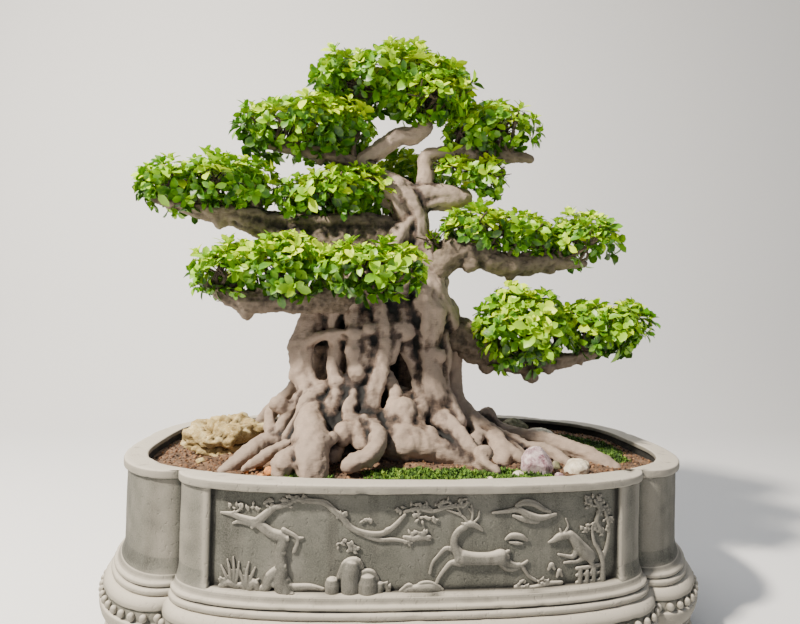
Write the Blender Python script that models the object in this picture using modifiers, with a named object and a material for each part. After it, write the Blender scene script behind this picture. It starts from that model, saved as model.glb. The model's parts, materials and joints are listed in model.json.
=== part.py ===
"""Bonsai tree in a mokko-shaped concrete pot on its low plinth.

Origin: centre of the plinth's underside.  +Z up, +X along the pot, front at -Y.  Metres.
"""
import math

import bmesh
import bpy
from mathutils import Matrix, Vector, noise

for old in list(bpy.data.objects):
    bpy.data.objects.remove(old, do_unlink=True)

# ---- driving dimensions ----
RIM_LENGTH = 1.280          # rim, end to end
RIM_DEPTH = 0.814           # rim, front to back
RIM_POWER = 2.88            # squareness of the rim's outline
RIM_END_WIDTH = 0.050       # flat of the rim at the two ends
RIM_SIDE_WIDTH = 0.043      # flat of the rim at front and back
POT_HEIGHT = 0.236
PLINTH_HEIGHT = 0.140
LIP_HEIGHT = 0.016
LIP_OVERHANG = 0.008
NOTCH_PLACE = 0.725         # notch, as a share of the half length
NOTCH_DEPTH = 0.036
NOTCH_REACH = 0.042         # how fast a notch dies away along the outline
FLOOR_THICKNESS = 0.040
DRAIN_RADIUS = 0.022
DRAIN_SPACING = 0.300
SCREEN_RADIUS = 0.034
SCREEN_THICKNESS = 0.003
GRAVEL_DEPTH = 0.030
SOIL_EDGE_DROP = 0.028      # soil at the wall, below the rim
SOIL_MOUND = 0.042          # how much higher the soil is at the trunk
PANEL_RECESS = 0.014
PANEL_HALF = 0.394          # half length of the front and back panels
PANEL_TOP_DROP = 0.018      # below the rim's top
PANEL_BOTTOM_RISE = 0.036   # above the pot's underside
END_PANEL_HALF = 0.120
END_PANEL_LOWER = 0.006     # top edge of the end panels, below that of the long ones
END_PANEL_RAISE = 0.030     # bottom edge of the end panels, above that of the long ones
RELIEF_FLATTEN = 0.6        # height of a relief, as a share of its strokes' radius
PLUG_HALF_LENGTH = 0.100    # root ball's key into the soil
PLUG_HALF_DEPTH = 0.042
PLUG_DEPTH = 0.070
GAP = 0.0003                # between touching pieces

# ---- fineness of the fused skins: (voxel size, triangles wanted) ----
TRUNK_SKIN = (0.010, 2700)
BRANCH_SKIN = (0.008, 190)
PAD_SKIN = (0.016, 120)
RELIEF_SKIN = (0.0035, 130)

RIM_Z = PLINTH_HEIGHT + POT_HEIGHT
HALF_LENGTH = RIM_LENGTH / 2
HALF_DEPTH = RIM_DEPTH / 2
BORE_HALF_LENGTH = HALF_LENGTH - RIM_END_WIDTH
BORE_HALF_DEPTH = HALF_DEPTH - RIM_SIDE_WIDTH
BORE_POWERS = (2.10, 3.52)
WALL_OFFSET = -LIP_OVERHANG

# pot's foot: (distance out from the rim's edge, height above the pot's underside)
FOOT_SECTION = [
    (0.016, 0.000), (0.016, 0.012), (0.009, 0.015), (0.012, 0.022), (0.004, 0.029),
    (-0.002, 0.036), (-0.006, 0.046), (WALL_OFFSET, 0.064),
]
# pot's lip: (distance out from the rim's edge, depth below the rim's top)
LIP_SECTION = [
    (WALL_OFFSET, LIP_HEIGHT + 0.002), (-0.002, LIP_HEIGHT), (0.000, 0.004), (-0.003, 0.000),
]
# plinth's section: (distance out from the rim's edge, share of the plinth's height)
PLINTH_SECTION = [
    (0.030, 0.00), (0.030, 0.10), (0.022, 0.13), (0.026, 0.24), (0.021, 0.34), (0.014, 0.37),
    (0.014, 0.41), (0.028, 0.44), (0.036, 0.62), (0.038, 0.78), (0.030, 0.93), (0.018, 1.00),
]

parts = bpy.data.collections.new("bonsai_tree_in_pot")
cutters = bpy.data.collections.new("cutters")
for group in (parts, cutters):
    bpy.context.scene.collection.children.link(group)


# ---- small helpers ----
def material(name, rgb, roughness=0.8):
    made = bpy.data.materials.get(name)
    if made is None:
        made = bpy.data.materials.new(name)
        made.use_nodes = True
        shader = made.node_tree.nodes["Principled BSDF"]
        shader.inputs["Base Color"].default_value = (*rgb, 1.0)
        shader.inputs["Roughness"].default_value = roughness
        shader.inputs["Metallic"].default_value = 0.0
    return made


CONCRETE = material("cast_concrete", (0.55, 0.53, 0.49), 0.85)
MORTAR = material("relief_mortar", (0.60, 0.58, 0.54), 0.85)
BARK = material("bark", (0.34, 0.27, 0.22), 0.80)
LEAVES = material("leaves", (0.20, 0.42, 0.06), 0.45)
SOIL = material("soil", (0.30, 0.17, 0.10), 0.95)
GRAVEL = material("gravel", (0.45, 0.38, 0.32), 0.90)
MOSS = material("moss", (0.12, 0.26, 0.04), 0.95)
POROUS = material("porous_rock", (0.62, 0.54, 0.38), 0.90)
STONE = material("stone", (0.42, 0.40, 0.34), 0.80)
QUARTZ = material("quartz", (0.70, 0.55, 0.52), 0.55)
PLASTIC = material("screen_plastic", (0.05, 0.05, 0.05), 0.50)


def new_object(name, mesh, finish=None):
    made = bpy.data.objects.new(name, mesh)
    parts.objects.link(made)
    if finish is not None:
        mesh.materials.clear()
        mesh.materials.append(finish)
    return made


def to_cutter(obj):
    """Hides a helper solid from the model and from renders."""
    for group in list(obj.users_collection):
        group.objects.unlink(obj)
    cutters.objects.link(obj)
    obj.hide_render = True
    obj.display_type = "WIRE"
    return obj


def bake(obj):
    """Applies every modifier of an object by reading its evaluated mesh."""
    bpy.context.view_layer.update()
    evaluated = obj.evaluated_get(bpy.context.evaluated_depsgraph_get())
    mesh = bpy.data.meshes.new_from_object(evaluated)
    obj.modifiers.clear()
    obj.data = mesh
    return obj


def boolean(obj, other, operation="DIFFERENCE"):
    step = obj.modifiers.new("boolean", "BOOLEAN")
    step.operation = operation
    step.solver = "EXACT"
    step.object = other
    return bake(obj)


def tidy(obj, merge=0.0001):
    """Welds stray doubles and keeps the largest body."""
    work = bmesh.new()
    work.from_mesh(obj.data)
    bmesh.ops.remove_doubles(work, verts=work.verts, dist=merge)
    bmesh.ops.dissolve_degenerate(work, edges=work.edges, dist=merge)
    left = set(work.faces)
    bodies = []
    while left:
        stack = [left.pop()]
        body = list(stack)
        while stack:
            for edge in stack.pop().edges:
                for face in edge.link_faces:
                    if face in left:
                        left.remove(face)
                        stack.append(face)
                        body.append(face)
        bodies.append(body)
    bodies.sort(key=lambda body: -sum(face.calc_area() for face in body))
    for body in bodies[1:]:
        bmesh.ops.delete(work, geom=body, context="FACES")
    loose = [vert for vert in work.verts if not vert.link_faces]
    bmesh.ops.delete(work, geom=loose, context="VERTS")
    bmesh.ops.triangulate(work, faces=work.faces)
    if work.calc_volume(signed=True) < 0:
        bmesh.ops.reverse_faces(work, faces=work.faces)
    work.to_mesh(obj.data)
    work.free()
    return obj


def grown(obj, distance=GAP):
    """A cutter: a copy of the solid, moved out along its normals by the gap."""
    mesh = obj.data.copy()
    normals = [vert.normal.copy() for vert in mesh.vertices]
    for vert, normal in zip(mesh.vertices, normals):
        vert.co += normal * distance * 1.3
    return to_cutter(new_object(obj.name + "_grown", mesh))


def near(first, second, reach=0.002):
    """True where the boxes of two solids meet."""
    spans = []
    for obj in (first, second):
        points = [vert.co for vert in obj.data.vertices]
        spans.append([(min(p[k] for p in points), max(p[k] for p in points)) for k in range(3)])
    return all(a[0] - reach < b[1] and b[0] - reach < a[1] for a, b in zip(*spans))


# ---- outlines of the pot ----
def superellipse(half_x, half_y, power_x, power_y, turn):
    """One point of |x/a|^p + |y/b|^q = 1."""
    c, s = math.cos(turn), math.sin(turn)
    x = math.copysign(half_x * abs(c) ** (2 / power_x), c)
    y = math.copysign(half_y * abs(s) ** (2 / power_y), s)
    return Vector((x, y))


def quarter_turns(notch_turn, end_steps, side_steps):
    """Parameter values of one quarter, with one of them exactly at the notch."""
    first = [notch_turn * (k / end_steps) ** 1.15 for k in range(end_steps)]
    rest = [notch_turn + (math.pi / 2 - notch_turn) * k / side_steps for k in range(side_steps)]
    return first + rest


def full_turn(quarter):
    turns = list(quarter)
    turns += [math.pi - t for t in reversed(quarter[1:] + [math.pi / 2])]
    turns += [math.pi + t for t in quarter]
    turns += [2 * math.pi - t for t in reversed(quarter[1:] + [math.pi / 2])]
    return turns


NOTCH_TURN = math.acos(NOTCH_PLACE ** (RIM_POWER / 2))
TURNS = full_turn(quarter_turns(NOTCH_TURN, 6, 8))


def offset_ring(points, distance):
    """Moves a closed outline out along its own normals."""
    moved = []
    count = len(points)
    for k, point in enumerate(points):
        along = (points[(k + 1) % count] - points[k - 1]).normalized()
        moved.append(point + Vector((along.y, -along.x)) * distance)
    return moved


def rim_outline():
    """Mokko outline: a superellipse with a re-entrant notch near each corner."""
    plain = [superellipse(HALF_LENGTH, HALF_DEPTH, RIM_POWER, RIM_POWER, t) for t in TURNS]
    corner = superellipse(HALF_LENGTH, HALF_DEPTH, RIM_POWER, RIM_POWER, NOTCH_TURN)
    inward = offset_ring(plain, -1.0)
    ring = []
    for point, inner in zip(plain, inward):
        away = (Vector((abs(point.x), abs(point.y))) - corner).length
        ring.append(point.lerp(inner, NOTCH_DEPTH * math.exp(-away / NOTCH_REACH)))
    return ring


def bore_outline(shrink=0.0):
    return [superellipse(BORE_HALF_LENGTH - shrink, BORE_HALF_DEPTH - shrink, *BORE_POWERS, t)
            for t in TURNS]


RIM = rim_outline()


def loft(name, rings, finish):
    """Skins a stack of rings, each a list of 3-D points of equal count, and caps both ends."""
    work = bmesh.new()
    rows = [[work.verts.new(point) for point in ring] for ring in rings]
    count = len(rows[0])
    for lower, upper in zip(rows, rows[1:]):
        for k in range(count):
            n = (k + 1) % count
            work.faces.new((lower[k], lower[n], upper[n], upper[k]))
    for row, flip in ((rows[0], True), (rows[-1], False)):
        centre = work.verts.new(sum((vert.co for vert in row), Vector()) / count)
        for k in range(count):
            pair = (row[k], row[(k + 1) % count])
            work.faces.new((centre, *(reversed(pair) if flip else pair)))
    bmesh.ops.recalc_face_normals(work, faces=work.faces)
    bmesh.ops.triangulate(work, faces=work.faces)
    mesh = bpy.data.meshes.new(name)
    work.to_mesh(mesh)
    work.free()
    return new_object(name, mesh, finish=finish)


def ring_at(outline, z):
    return [Vector((p.x, p.y, z)) for p in outline]


def cylinder(name, radius, low, high, centre, sides=20, finish=None):
    work = bmesh.new()
    bmesh.ops.create_cone(work, cap_ends=True, segments=sides, radius1=radius, radius2=radius,
                          depth=high - low)
    bmesh.ops.translate(work, verts=work.verts, vec=(centre[0], centre[1], (low + high) / 2))
    mesh = bpy.data.meshes.new(name)
    work.to_mesh(mesh)
    work.free()
    return new_object(name, mesh, finish=finish)


def prism(name, outline, low, high):
    """A closed upright prism on a plan outline, used as a cutter."""
    work = bmesh.new()
    face = work.faces.new([work.verts.new((p.x, p.y, low)) for p in outline])
    grown_up = bmesh.ops.extrude_face_region(work, geom=[face])
    upper = [item for item in grown_up["geom"] if isinstance(item, bmesh.types.BMVert)]
    bmesh.ops.translate(work, verts=upper, vec=(0, 0, high - low))
    bmesh.ops.recalc_face_normals(work, faces=work.faces)
    mesh = bpy.data.meshes.new(name)
    work.to_mesh(mesh)
    work.free()
    return to_cutter(new_object(name, mesh))


# ---- pot and plinth ----
LONG_SIDES = ("front", "back")
OUT_WAYS = {"front": (0, -1), "back": (0, 1), "left": (-1, 0), "right": (1, 0)}


def panel_low(side):
    """Height of a panel's lower edge above the ground."""
    return PLINTH_HEIGHT + PANEL_BOTTOM_RISE + (0.0 if side in LONG_SIDES else END_PANEL_RAISE)


def panel_high(side):
    """Height of a panel's upper edge above the ground."""
    return RIM_Z - PANEL_TOP_DROP - (0.0 if side in LONG_SIDES else END_PANEL_LOWER)


def panel_face(share, side):
    """A point of a recessed panel's floor: share -1..1 along it, side front/back/left/right."""
    if side in LONG_SIDES:
        x = share * PANEL_HALF
        turn = math.acos((abs(x) / HALF_LENGTH) ** (RIM_POWER / 2))
        y = HALF_DEPTH * math.sin(turn) ** (2 / RIM_POWER) + WALL_OFFSET - PANEL_RECESS
        return Vector((x, -y if side == "front" else y))
    y = share * END_PANEL_HALF
    turn = math.asin((abs(y) / HALF_DEPTH) ** (RIM_POWER / 2))
    x = HALF_LENGTH * math.cos(turn) ** (2 / RIM_POWER) + WALL_OFFSET - PANEL_RECESS
    return Vector((-x if side == "left" else x, y))


def panel_cutter(side):
    steps = 16 if side in LONG_SIDES else 8
    inner = [panel_face(-1 + 2 * k / steps, side) for k in range(steps + 1)]
    push = Vector(OUT_WAYS[side]) * 0.1
    outer = [inner[-1] + push, inner[0] + push]
    low = panel_low(side)
    return prism("panel_" + side, inner + outer, low, panel_high(side))


def drain_places():
    return [(-DRAIN_SPACING, 0.0), (0.0, 0.0), (DRAIN_SPACING, 0.0)]


def make_pot():
    underside = PLINTH_HEIGHT + GAP
    foot = [ring_at(offset_ring(RIM, out), max(underside, PLINTH_HEIGHT + rise))
            for out, rise in FOOT_SECTION]
    lip = [ring_at(offset_ring(RIM, out), RIM_Z - drop) for out, drop in LIP_SECTION]
    bore = [ring_at(bore_outline(), RIM_Z), ring_at(bore_outline(), PLINTH_HEIGHT + FLOOR_THICKNESS)]
    pot = loft("pot_body", foot + lip + bore, CONCRETE)
    for side in ("front", "back", "left", "right"):
        boolean(pot, panel_cutter(side))
    for k, place in enumerate(drain_places()):
        hole = to_cutter(cylinder(f"drain_{k}", DRAIN_RADIUS, 0.05, RIM_Z - 0.05, place))
        boolean(pot, hole)
    return tidy(pot)


def make_plinth():
    rings = [ring_at(offset_ring(RIM, out), share * PLINTH_HEIGHT) for out, share in PLINTH_SECTION]
    plinth = loft("plinth", rings, CONCRETE)
    for k, place in enumerate(drain_places()):
        hole = to_cutter(cylinder(f"weep_{k}", DRAIN_RADIUS, -0.05, PLINTH_HEIGHT + 0.05, place))
        boolean(plinth, hole)
    return tidy(plinth)


# ---- filling ----
def soil_height(x, y):
    """Height of the soil above the ground: low at the wall, mounded to the trunk."""
    spread_x, spread_y = BORE_HALF_LENGTH * 0.55, BORE_HALF_DEPTH * 0.55
    mound = math.exp(-((x + 0.06) / spread_x) ** 2 - (y / spread_y) ** 2)
    return RIM_Z - SOIL_EDGE_DROP + SOIL_MOUND * mound


def make_filling():
    floor = PLINTH_HEIGHT + FLOOR_THICKNESS
    for k, place in enumerate(drain_places()):
        name = "drain_screen_" + ("left", "centre", "right")[k]
        cylinder(name, SCREEN_RADIUS, floor + GAP, floor + GAP + SCREEN_THICKNESS, place, 20,
                 finish=PLASTIC)
    gravel_low = floor + SCREEN_THICKNESS + 2 * GAP
    gravel_top = gravel_low + GRAVEL_DEPTH
    bore = bore_outline(GAP)
    loft("drainage_gravel", [ring_at(bore, gravel_low), ring_at(bore, gravel_top)], GRAVEL)
    rings = [ring_at(bore, gravel_top + GAP)]
    for share in (1.0, 0.88, 0.74, 0.60, 0.46, 0.32, 0.18, 0.07):
        rings.append([Vector((p.x * share, p.y * share, soil_height(p.x * share, p.y * share)))
                      for p in bore])
    return loft("soil", rings, SOIL)


# ---- tree: routes as (x, y, height above the rim, radius) ----
PLUG_CENTRE = (-0.075, 0.030)

TRUNK_ROUTES = {
    "left column": [(-0.19, -0.01, 0.40, 0.034), (-0.22, -0.02, 0.34, 0.032), (-0.24, -0.04, 0.29, 0.029),
                    (-0.26, -0.06, 0.23, 0.028), (-0.25, -0.07, 0.17, 0.024), (-0.23, -0.09, 0.12, 0.026),
                    (-0.21, -0.11, 0.05, 0.030), (-0.20, -0.12, -0.02, 0.030)],
    "arch root": [(-0.255, -0.07, 0.235, 0.014), (-0.23, -0.08, 0.262, 0.013),
                  (-0.185, -0.09, 0.272, 0.014), (-0.135, -0.09, 0.273, 0.019)],
    "core left": [(-0.13, 0.00, 0.40, 0.066), (-0.16, 0.02, 0.27, 0.070), (-0.165, 0.02, 0.17, 0.070),
                  (-0.155, 0.02, 0.07, 0.076), (-0.145, 0.02, -0.03, 0.080)],
    "core middle": [(-0.08, 0.02, 0.40, 0.070), (-0.085, 0.04, 0.27, 0.070), (-0.085, 0.05, 0.17, 0.070),
                    (-0.080, 0.05, 0.07, 0.076), (-0.080, 0.03, -0.03, 0.080)],
    "core right": [(-0.01, 0.02, 0.42, 0.072), (0.000, 0.03, 0.30, 0.070), (0.000, 0.05, 0.20, 0.060),
                   (-0.005, 0.04, 0.09, 0.070), (-0.01, 0.03, -0.03, 0.080)],
    "middle column": [(-0.135, -0.05, 0.35, 0.024), (-0.13, -0.09, 0.27, 0.024),
                      (-0.125, -0.10, 0.18, 0.026), (-0.135, -0.10, 0.13, 0.026),
                      (-0.155, -0.12, 0.03, 0.028), (-0.155, -0.12, -0.03, 0.028)],
    "smooth root": [(-0.08, -0.06, 0.37, 0.022), (-0.07, -0.09, 0.30, 0.021), (-0.067, -0.10, 0.24, 0.020),
                    (-0.078, -0.11, 0.18, 0.021), (-0.095, -0.12, 0.12, 0.023),
                    (-0.095, -0.13, 0.06, 0.028), (-0.095, -0.13, 0.00, 0.030)],
    "right burl": [(0.06, -0.02, 0.43, 0.038), (0.047, -0.06, 0.37, 0.039), (0.049, -0.07, 0.31, 0.037),
                   (0.046, -0.07, 0.25, 0.029), (0.053, -0.08, 0.19, 0.029),
                   (0.060, -0.09, 0.12, 0.034), (0.067, -0.10, 0.02, 0.034)],
    "middle burl": [(-0.02, -0.04, 0.38, 0.030), (-0.012, -0.07, 0.31, 0.029), (-0.011, -0.07, 0.27, 0.024),
                    (0.007, -0.07, 0.21, 0.014), (0.03, -0.07, 0.16, 0.015)],
    "right leg": [(0.10, 0.00, 0.34, 0.036), (0.12, 0.00, 0.25, 0.028), (0.121, 0.00, 0.187, 0.024),
                  (0.123, -0.01, 0.121, 0.025), (0.143, -0.03, 0.069, 0.033),
                  (0.183, -0.06, 0.030, 0.035), (0.223, -0.10, 0.000, 0.029), (0.251, -0.14, -0.024, 0.021)],
    "leg's shoulder": [(0.02, 0.01, 0.36, 0.040), (0.08, 0.00, 0.32, 0.040), (0.115, 0.00, 0.28, 0.034)],
    "thumb": [(-0.22, -0.12, 0.09, 0.024), (-0.231, -0.17, 0.072, 0.027), (-0.221, -0.22, 0.043, 0.030),
              (-0.218, -0.26, 0.014, 0.027), (-0.216, -0.29, -0.022, 0.026)],
    "round end": [(-0.23, -0.21, 0.025, 0.020), (-0.268, -0.26, 0.002, 0.020), (-0.274, -0.27, -0.023, 0.016)],
    "left root": [(-0.21, -0.10, 0.04, 0.028), (-0.268, -0.12, 0.021, 0.023), (-0.32, -0.13, 0.021, 0.020),
                  (-0.348, -0.17, 0.010, 0.018), (-0.376, -0.20, -0.009, 0.015), (-0.404, -0.22, -0.027, 0.012)],
    "stub": [(-0.33, -0.06, 0.082, 0.012), (-0.325, -0.09, 0.047, 0.013), (-0.313, -0.12, 0.019, 0.016)],
    "diagonal root": [(-0.245, -0.08, 0.13, 0.018), (-0.281, -0.10, 0.082, 0.014),
                      (-0.300, -0.12, 0.044, 0.014), (-0.311, -0.13, 0.014, 0.014)],
    "far left root": [(-0.17, 0.02, 0.15, 0.030), (-0.26, 0.02, 0.144, 0.023), (-0.302, 0.04, 0.095, 0.023),
                      (-0.334, 0.05, 0.073, 0.021), (-0.36, 0.06, 0.035, 0.021), (-0.393, 0.08, -0.015, 0.018)],
    "lying mass": [(-0.142, -0.14, 0.044, 0.023), (-0.081, -0.15, 0.033, 0.032), (-0.023, -0.17, 0.028, 0.038),
                   (0.026, -0.17, 0.020, 0.031), (0.089, -0.18, 0.000, 0.020), (0.137, -0.19, -0.024, 0.014)],
    "capped knob": [(-0.018, -0.06, 0.119, 0.028), (-0.015, -0.13, 0.089, 0.030), (-0.019, -0.16, 0.053, 0.027)],
    "comma root": [(-0.10, -0.14, 0.072, 0.021), (-0.079, -0.20, 0.052, 0.020), (-0.084, -0.24, 0.026, 0.021),
                   (-0.113, -0.26, 0.010, 0.019), (-0.140, -0.27, 0.001, 0.016)],
    "lump column": [(-0.157, -0.10, 0.139, 0.021), (-0.178, -0.13, 0.111, 0.018), (-0.183, -0.15, 0.073, 0.018),
                    (-0.166, -0.17, 0.037, 0.020), (-0.173, -0.19, 0.000, 0.018)],
    "right root": [(0.052, -0.10, 0.085, 0.026), (0.090, -0.14, 0.059, 0.021), (0.120, -0.18, 0.031, 0.018),
                   (0.143, -0.20, -0.005, 0.014)],
    "long right root": [(0.14, -0.01, 0.06, 0.032), (0.228, 0.00, 0.029, 0.026), (0.280, -0.02, 0.018, 0.020),
                        (0.343, -0.06, 0.012, 0.020), (0.391, -0.10, 0.003, 0.019),
                        (0.439, -0.14, -0.012, 0.018), (0.475, -0.17, -0.035, 0.014)],
    "thin right root": [(0.20, -0.04, 0.030, 0.024), (0.277, -0.10, 0.010, 0.014), (0.325, -0.12, 0.004, 0.013),
                        (0.354, -0.16, -0.012, 0.012), (0.37, -0.18, -0.028, 0.010)],
    "pale tip": [(0.165, -0.10, 0.035, 0.016), (0.145, -0.17, 0.020, 0.012), (0.150, -0.23, 0.000, 0.011),
                 (0.176, -0.25, -0.016, 0.010)],
    "knot": [(0.188, -0.06, 0.035, 0.024), (0.211, -0.13, 0.005, 0.026), (0.21, -0.17, -0.016, 0.020)],
    "back left root": [(-0.13, 0.08, 0.083, 0.040), (-0.20, 0.15, 0.040, 0.034), (-0.275, 0.20, -0.003, 0.024),
                       (-0.321, 0.22, -0.030, 0.016)],
    "back right root": [(0.016, 0.08, 0.098, 0.040), (0.11, 0.15, 0.047, 0.032), (0.221, 0.19, 0.000, 0.024),
                        (0.290, 0.21, -0.022, 0.016)],
    "back middle root": [(-0.06, 0.07, 0.20, 0.045), (-0.055, 0.13, 0.067, 0.039), (-0.068, 0.20, -0.003, 0.026)],
    "back left column": [(-0.13, 0.05, 0.36, 0.040), (-0.17, 0.09, 0.22, 0.032), (-0.18, 0.10, 0.08, 0.034),
                         (-0.19, 0.11, -0.02, 0.034)],
    "back right column": [(0.02, 0.06, 0.36, 0.038), (0.04, 0.10, 0.22, 0.030), (0.05, 0.11, 0.08, 0.032),
                          (0.06, 0.12, -0.02, 0.032)],
    "right knob": [(0.19, 0.02, 0.040, 0.024), (0.225, 0.04, 0.060, 0.019)],
    "waist": [(-0.068, 0.00, 0.352, 0.076), (-0.034, 0.00, 0.424, 0.077), (-0.009, 0.00, 0.481, 0.061),
              (0.005, 0.00, 0.543, 0.050), (-0.007, 0.00, 0.610, 0.050), (-0.039, 0.00, 0.649, 0.045),
              (-0.085, 0.00, 0.678, 0.031)],
    "right fork": [(-0.007, 0.00, 0.620, 0.036), (0.044, 0.00, 0.637, 0.033), (0.101, 0.00, 0.640, 0.034),
                   (0.138, 0.00, 0.641, 0.026)],
    "left fork": [(-0.085, 0.00, 0.678, 0.031), (-0.122, 0.00, 0.718, 0.025), (-0.087, 0.00, 0.755, 0.023),
                  (-0.031, 0.00, 0.796, 0.023), (0.005, 0.00, 0.801, 0.023), (0.035, 0.00, 0.823, 0.021)],
    "riser": [(0.034, 0.00, 0.647, 0.023), (0.040, 0.00, 0.694, 0.021), (0.039, 0.00, 0.746, 0.018),
              (0.078, 0.00, 0.760, 0.016), (0.125, 0.00, 0.765, 0.021)],
}

BRANCH_ROUTES = {
    "branch_lower_left": [
        [(-0.134, -0.05, 0.368, 0.037), (-0.204, -0.09, 0.362, 0.031), (-0.263, -0.11, 0.352, 0.026),
         (-0.316, -0.12, 0.350, 0.023), (-0.375, -0.12, 0.344, 0.023), (-0.429, -0.12, 0.361, 0.014),
         (-0.469, -0.12, 0.383, 0.009)],
        [(-0.361, -0.12, 0.349, 0.018), (-0.381, -0.12, 0.326, 0.018)],
        [(-0.134, -0.06, 0.377, 0.024), (-0.097, -0.13, 0.383, 0.021), (-0.06, -0.17, 0.391, 0.013)]],
    "branch_mid_left": [
        [(-0.036, 0.00, 0.516, 0.051), (-0.102, 0.00, 0.524, 0.053), (-0.181, 0.00, 0.526, 0.050),
         (-0.263, 0.00, 0.534, 0.040), (-0.338, 0.00, 0.546, 0.035), (-0.398, 0.00, 0.564, 0.030),
         (-0.437, 0.00, 0.573, 0.025), (-0.486, 0.00, 0.576, 0.022), (-0.540, 0.00, 0.589, 0.017),
         (-0.600, 0.00, 0.599, 0.012), (-0.636, 0.00, 0.610, 0.008)],
        [(-0.393, 0.00, 0.579, 0.023), (-0.389, 0.00, 0.602, 0.020)],
        [(-0.467, 0.00, 0.571, 0.020), (-0.473, 0.00, 0.551, 0.017)],
        [(-0.169, 0.01, 0.544, 0.026), (-0.175, 0.02, 0.587, 0.021), (-0.197, 0.03, 0.619, 0.013)]],
    "branch_upper_left": [
        [(-0.100, 0.00, 0.700, 0.024), (-0.142, 0.00, 0.717, 0.020), (-0.198, 0.00, 0.737, 0.018),
         (-0.259, 0.00, 0.744, 0.015), (-0.324, 0.00, 0.754, 0.013), (-0.386, 0.00, 0.761, 0.009)]],
    "branch_apex": [
        [(0.025, 0.00, 0.815, 0.019), (0.038, 0.00, 0.845, 0.018), (0.016, 0.00, 0.879, 0.018),
         (-0.029, 0.00, 0.902, 0.015), (-0.100, 0.00, 0.904, 0.011), (-0.164, 0.00, 0.900, 0.009)],
        [(0.008, 0.00, 0.884, 0.013), (0.03, 0.02, 0.935, 0.010), (0.052, 0.03, 0.973, 0.008)]],
    "branch_upper_right": [
        [(0.115, 0.00, 0.765, 0.020), (0.152, 0.00, 0.746, 0.024), (0.188, 0.00, 0.742, 0.021),
         (0.230, 0.00, 0.760, 0.016), (0.273, 0.00, 0.759, 0.013), (0.316, 0.00, 0.753, 0.009)]],
    "branch_mid_right": [
        [(0.030, -0.02, 0.394, 0.038), (0.055, -0.03, 0.424, 0.035), (0.078, -0.04, 0.459, 0.035),
         (0.118, -0.04, 0.485, 0.035), (0.171, -0.04, 0.487, 0.033), (0.220, -0.04, 0.466, 0.030),
         (0.269, -0.04, 0.460, 0.028), (0.344, -0.04, 0.472, 0.025), (0.394, -0.04, 0.471, 0.018),
         (0.444, -0.04, 0.470, 0.010)]],
    "branch_lower_right": [
        [(0.093, 0.00, 0.279, 0.036), (0.132, 0.00, 0.267, 0.046), (0.178, -0.02, 0.240, 0.038),
         (0.220, -0.04, 0.227, 0.033), (0.263, -0.05, 0.203, 0.023), (0.315, -0.05, 0.204, 0.023),
         (0.367, -0.06, 0.210, 0.017), (0.424, -0.06, 0.221, 0.015), (0.491, -0.06, 0.242, 0.010)],
        [(0.299, -0.05, 0.198, 0.020), (0.310, -0.05, 0.173, 0.018)]],
    "branch_back_low": [
        [(-0.040, 0.04, 0.430, 0.040), (-0.050, 0.11, 0.440, 0.030), (-0.075, 0.18, 0.450, 0.024),
         (-0.100, 0.25, 0.455, 0.016), (-0.120, 0.30, 0.462, 0.010)]],
    "branch_back_high": [
        [(-0.020, 0.02, 0.640, 0.030), (0.000, 0.08, 0.660, 0.022), (0.010, 0.14, 0.680, 0.017),
         (0.010, 0.20, 0.690, 0.010)]],
}

# foliage pads: lumps as (x, y, height above the rim, half length, half depth, half height)
PADS = {
    "leaves_lower_left": [(-0.40, -0.10, 0.420, 0.10, 0.11, 0.052), (-0.29, -0.11, 0.430, 0.11, 0.12, 0.062)],
    "leaves_lower_front": [(-0.09, -0.19, 0.425, 0.11, 0.09, 0.048)],
    "leaves_far_left": [(-0.58, 0.00, 0.638, 0.09, 0.10, 0.048), (-0.46, 0.00, 0.650, 0.11, 0.13, 0.052)],
    "leaves_mid_left": [(-0.25, 0.02, 0.622, 0.09, 0.10, 0.042), (-0.16, 0.00, 0.640, 0.11, 0.12, 0.056)],
    "leaves_upper_left": [(-0.35, 0.00, 0.790, 0.10, 0.11, 0.052), (-0.24, 0.00, 0.800, 0.12, 0.13, 0.066)],
    "leaves_apex": [(-0.13, 0.00, 0.925, 0.11, 0.12, 0.074), (0.00, 0.00, 0.940, 0.13, 0.14, 0.078),
                    (0.06, -0.03, 0.880, 0.10, 0.11, 0.050)],
    "leaves_upper_right": [(0.19, 0.00, 0.815, 0.08, 0.09, 0.052), (0.26, 0.00, 0.812, 0.07, 0.09, 0.056)],
    "leaves_small_right": [(0.19, -0.01, 0.690, 0.065, 0.065, 0.042)],
    "leaves_mid_right": [(0.17, -0.04, 0.545, 0.09, 0.09, 0.042), (0.28, -0.04, 0.535, 0.09, 0.09, 0.042)],
    "leaves_far_right": [(0.43, -0.04, 0.525, 0.085, 0.09, 0.058)],
    "leaves_low_right": [(0.28, -0.07, 0.300, 0.115, 0.11, 0.092)],
    "leaves_low_far_right": [(0.49, -0.06, 0.295, 0.10, 0.10, 0.060)],
    "leaves_back_low": [(-0.10, 0.26, 0.500, 0.13, 0.10, 0.050)],
    "leaves_back_high": [(0.01, 0.18, 0.735, 0.11, 0.09, 0.052)],
}


def spread(point):
    """Carries the roots' spread with the pot's bore; above the roots nothing changes."""
    x, y, z, radius = point
    share = min(1.0, max(0.0, 1.0 - z / 0.30))
    x *= 1 + (BORE_HALF_LENGTH / 0.590 - 1) * share
    y *= 1 + (BORE_HALF_DEPTH / 0.364 - 1) * share
    return x, y, z, radius


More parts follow.
